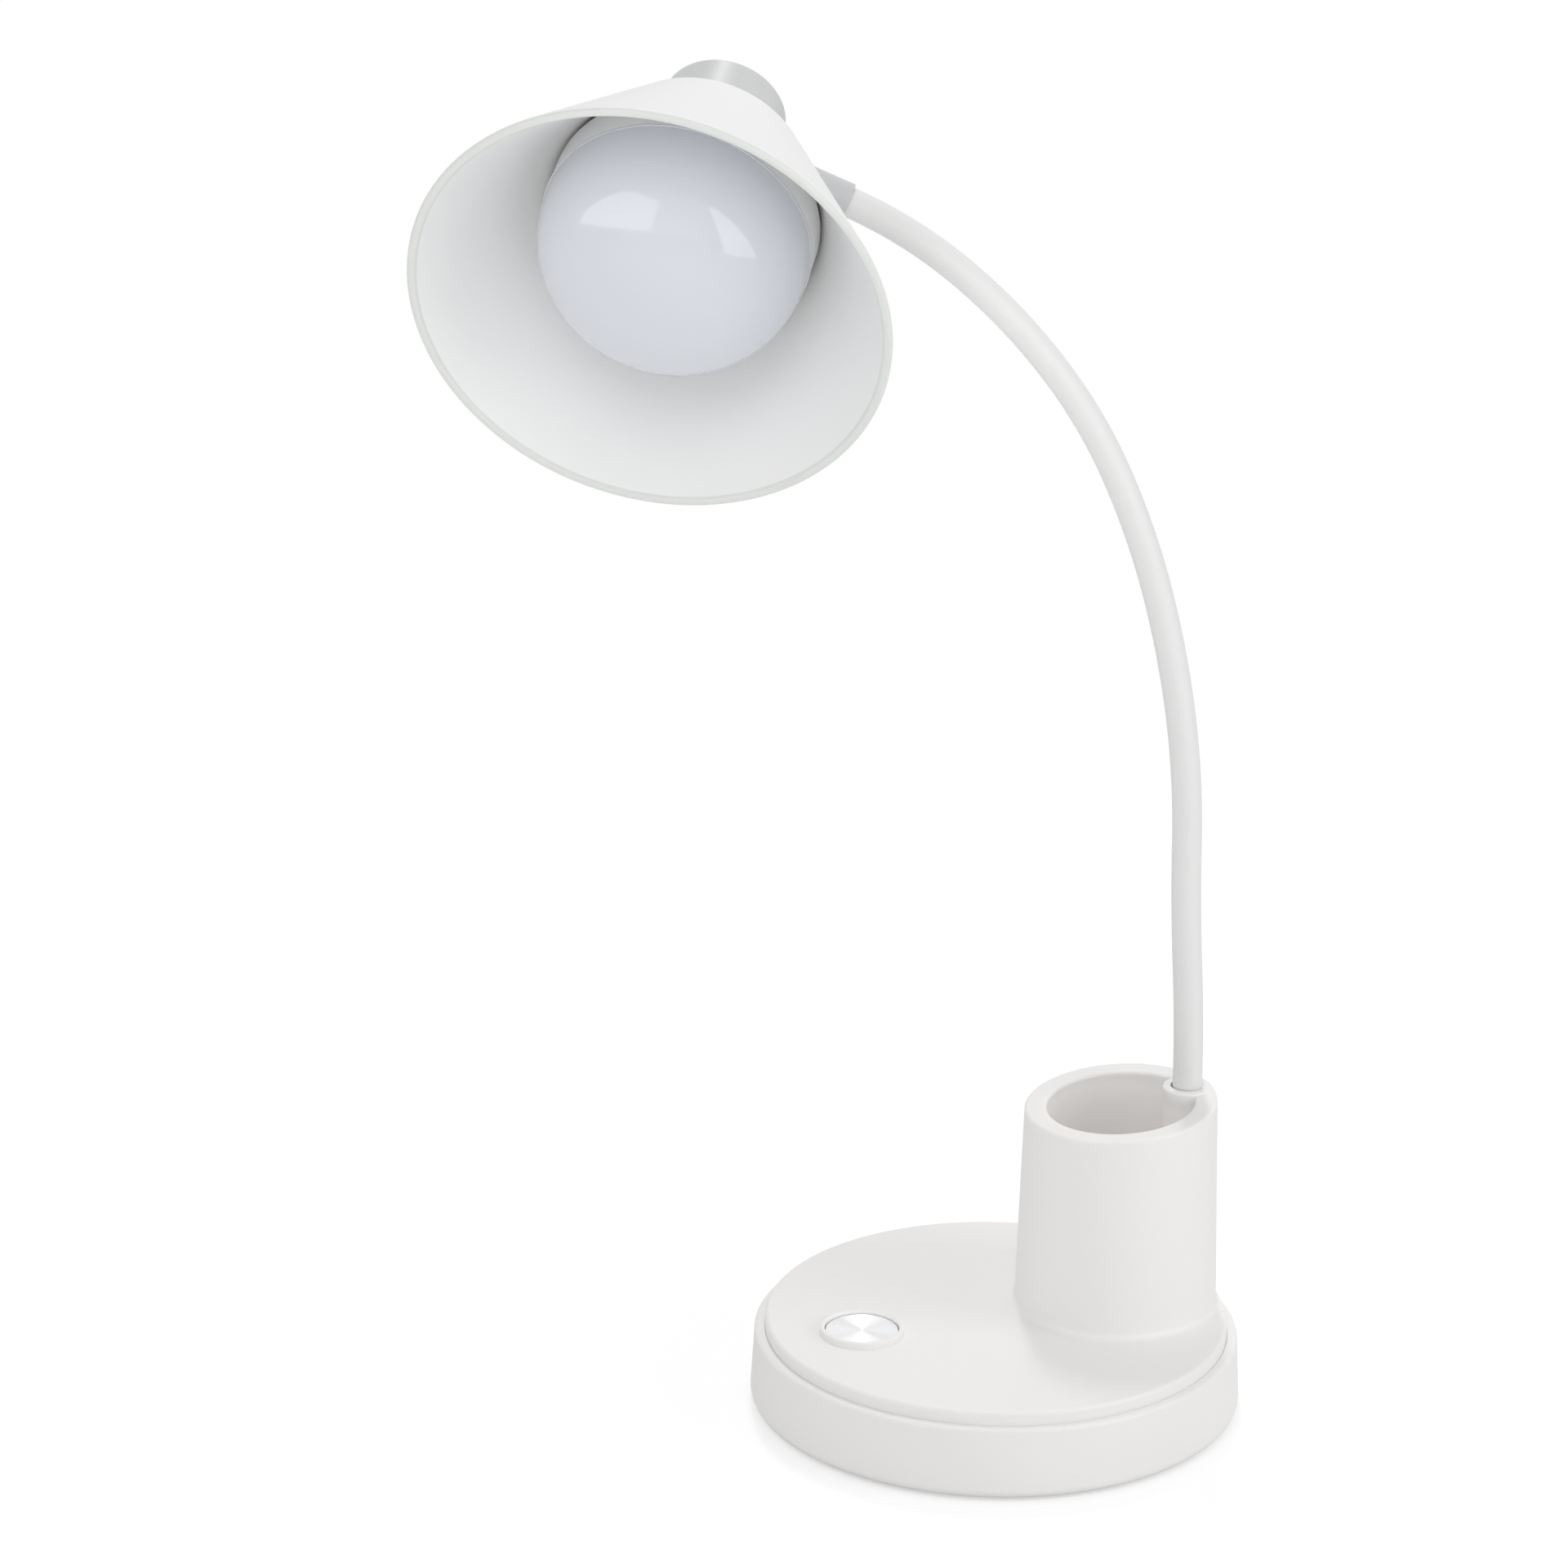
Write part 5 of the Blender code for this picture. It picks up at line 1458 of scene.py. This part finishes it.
def stand(name: str, data: "bpy.types.Camera | bpy.types.Light", place: Vector, turn: Matrix) -> Piece:
    """Stand a camera or a light in the studio.

    Args:
        name: Its name.
        data: The camera's or the light's data.
        place: Where it stands.
        turn: How it is turned.

    Returns:
        The camera or the light.
    """
    made = bpy.data.objects.new(name, data)
    bpy.context.scene.collection.objects.link(made)
    made.matrix_world = Matrix.Translation(place) @ turn.to_4x4()
    return made


@dataclass
class PhotoCamera:
    """The camera of the photograph, in the lamp's own frame."""

    image_size: float = 1920
    focal_pixels: float = 8764.8
    sensor_width: float = 36
    distance: float = 2.2
    nearest: float = 0.05
    pitch: float = math.radians(20.33)
    roll: float = math.radians(0.71)
    lamp_turn: float = math.radians(19)
    base_in_image: tuple[float, float] = (1217.1, 1708.9)

    def turned_to_lamp(self, right: float, away: float, up: float) -> Vector:
        """Turn a direction seen from the camera's side into the lamp's frame.

        Args:
            right: How far it goes right.
            away: How far it goes away from the camera.
            up: How far it goes up.

        Returns:
            The direction.
        """
        turn = self.lamp_turn
        return Vector((right * math.sin(turn) - away * math.cos(turn),
                       right * math.cos(turn) + away * math.sin(turn), up))

    def build(self) -> list[Piece]:
        """Place the camera so that the base's centre falls where the photograph has it.

        Returns:
            The pieces.
        """
        forward = self.turned_to_lamp(0, math.cos(self.pitch), -math.sin(self.pitch))
        level = self.turned_to_lamp(1, 0, 0)
        upward = level.cross(forward)
        right = math.cos(self.roll) * level + math.sin(self.roll) * upward
        up = -math.sin(self.roll) * level + math.cos(self.roll) * upward
        middle = self.image_size / 2
        across = (self.base_in_image[0] - middle) / self.focal_pixels
        down = (self.base_in_image[1] - middle) / self.focal_pixels
        place = -(forward + across * right - down * up) * self.distance
        data = bpy.data.cameras.new("photo camera")
        data.sensor_fit = "HORIZONTAL"
        data.sensor_width = self.sensor_width
        data.lens = self.focal_pixels * self.sensor_width / self.image_size
        data.clip_start = self.nearest
        camera = stand("photo_camera", data, place, Matrix((right, up, -forward)).transposed())
        bpy.context.scene.camera = camera
        return [camera]


class Purpose(Enum):
    """What a soft box is hung for."""

    LIGHT = "lights the lamp and shows in its gloss"
    FILL = "lights the lamp without showing in its gloss"
    REFLECTION = "shows in glossy surfaces only"


@dataclass(frozen=True)
class Softbox:
    """A soft light: where it stands from the lamp, its width and height, its radiance and purpose."""

    name: str
    place: tuple[float, float, float]
    size: tuple[float, float]
    radiance: float
    purpose: Purpose = Purpose.FILL
    target: tuple[float, float, float] = (0, 0, 0.2)
    spread: float = math.pi


@dataclass
class Studio:
    """A plain white studio: pale floor, soft sky and a few soft boxes."""

    camera: PhotoCamera
    sky: float = 0.62
    shown_sky: float = 1.0
    floor_size: float = 60
    floor_drop: float = 0.0001
    floor_colour: Colour = (0.88, 0.88, 0.88)
    shown_colour: Colour = (1.18, 1.18, 1.18)
    shown_white_share: float = 0.5
    shadow_radius: float = 0.3
    white_radius: float = 0.9
    softboxes: tuple[Softbox, ...] = (
        Softbox("top_back_box", (-0.041, 0.95, 1.65), (0.15, 0.5), 24, Purpose.LIGHT),
        Softbox("right_box", (1.75, -0.6, 0.9), (1.0, 1.0), 2.5),
        Softbox("front_box", (-0.4, -1.6, 1.9), (1.2, 1.2), 1.45),
        Softbox("head_box", (-0.377, -1.21, 0.12), (0.7, 0.7), 0.37, Purpose.FILL, HEAD_PLACE,
                math.radians(50)),
        Softbox("left_reflection", (-1.066, -0.788, 0.825), (1.5, 0.85), 1.8, Purpose.REFLECTION,
                HEAD_PLACE),
        Softbox("right_reflection", (0.907, -0.824, 0.606), (1.1, 1.05), 2.1, Purpose.REFLECTION,
                HEAD_PLACE),
    )

    def light(self, box: Softbox) -> Piece:
        """Hang one soft box, level and facing its target.

        Args:
            box: The soft box.

        Returns:
            The light.
        """
        data = bpy.data.lights.new(box.name, "AREA")
        data.shape = "RECTANGLE"
        data.size, data.size_y = box.size
        data.energy = box.radiance * math.pi * box.size[0] * box.size[1]
        data.spread = box.spread
        place = self.camera.turned_to_lamp(*box.place)
        facing = (self.camera.turned_to_lamp(*box.target) - place).to_track_quat("-Z", "Y")
        light = stand(box.name, data, place, facing.to_matrix())
        light.visible_diffuse = box.purpose is not Purpose.REFLECTION
        light.visible_glossy = box.purpose is not Purpose.FILL
        return light

    def world(self) -> None:
        """Make the sky even, and white where the camera or a gloss sees it."""
        world = bpy.data.worlds.new("white studio")
        bpy.context.scene.world = world
        tree = NodeTree(world)
        rays = tree.ray("Camera") + tree.ray("Glossy") + tree.ray("Transmission")
        white = tree.maths("MINIMUM", rays, 1.0)
        level = white * self.shown_sky + (1 - white) * self.sky
        shader = tree.node("Background", None, {"Color": (1, 1, 1, 1), "Strength": level})
        tree.connect_output(shader, "OutputWorld")

    def floor(self) -> Piece:
        """Lay the floor: it keeps the lamp's shadow and turns plain white further away.

        Returns:
            The floor.
        """
        clear()
        bpy.ops.mesh.primitive_grid_add(x_subdivisions=8, y_subdivisions=8, size=self.floor_size,
                                        location=(0, 0, -self.floor_drop))
        piece = named("studio_floor")
        material = bpy.data.materials.new("studio floor")
        tree = NodeTree(material)
        far = tree.node("MapRange", {"interpolation_type": "SMOOTHSTEP"},
                        {"Value": tree.length(tree.place()), "From Min": self.shadow_radius,
                         "From Max": self.white_radius, "To Min": self.shown_white_share, "To Max": 1.0})
        plain = tree.node("BsdfDiffuse", None, {"Color": (*self.floor_colour, 1)})
        shadowed = tree.node("BsdfDiffuse", None, {"Color": (*self.shown_colour, 1)})
        white = tree.node("Emission", None, {"Color": (1, 1, 1, 1), "Strength": 1.0})
        shown = tree.node("MixShader", None, {0: far, 1: shadowed, 2: white})
        tree.connect_output(tree.node("MixShader", None, {0: tree.ray("Camera"), 1: plain, 2: shown}))
        piece.data.materials.append(material)
        return piece

    def build(self) -> list[Piece]:
        """Set up the sky, the floor and the soft boxes.

        Returns:
            The pieces.
        """
        bpy.context.scene.view_settings.view_transform = "Standard"
        self.world()
        return [self.floor(), *(self.light(box) for box in self.softboxes)]


def main() -> None:
    """Build the lamp round its frame and light it."""
    logging.basicConfig(level=logging.INFO, format="%(name)s: %(message)s")
    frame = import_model()
    camera = PhotoCamera()
    arm = Arm()
    head = Head(arm.frames()[-1])
    kept = KeptNodes(frame["record"], frame["nodes"], head)
    assemblies = [Base(), Inlet(), Cover(), Key(), arm, head, kept, camera, Studio(camera)]
    for assembly in assemblies:
        for piece in assembly.build():
            log.info("%s: %s", type(assembly).__name__, piece.name)


if __name__ == "__main__":
    main()
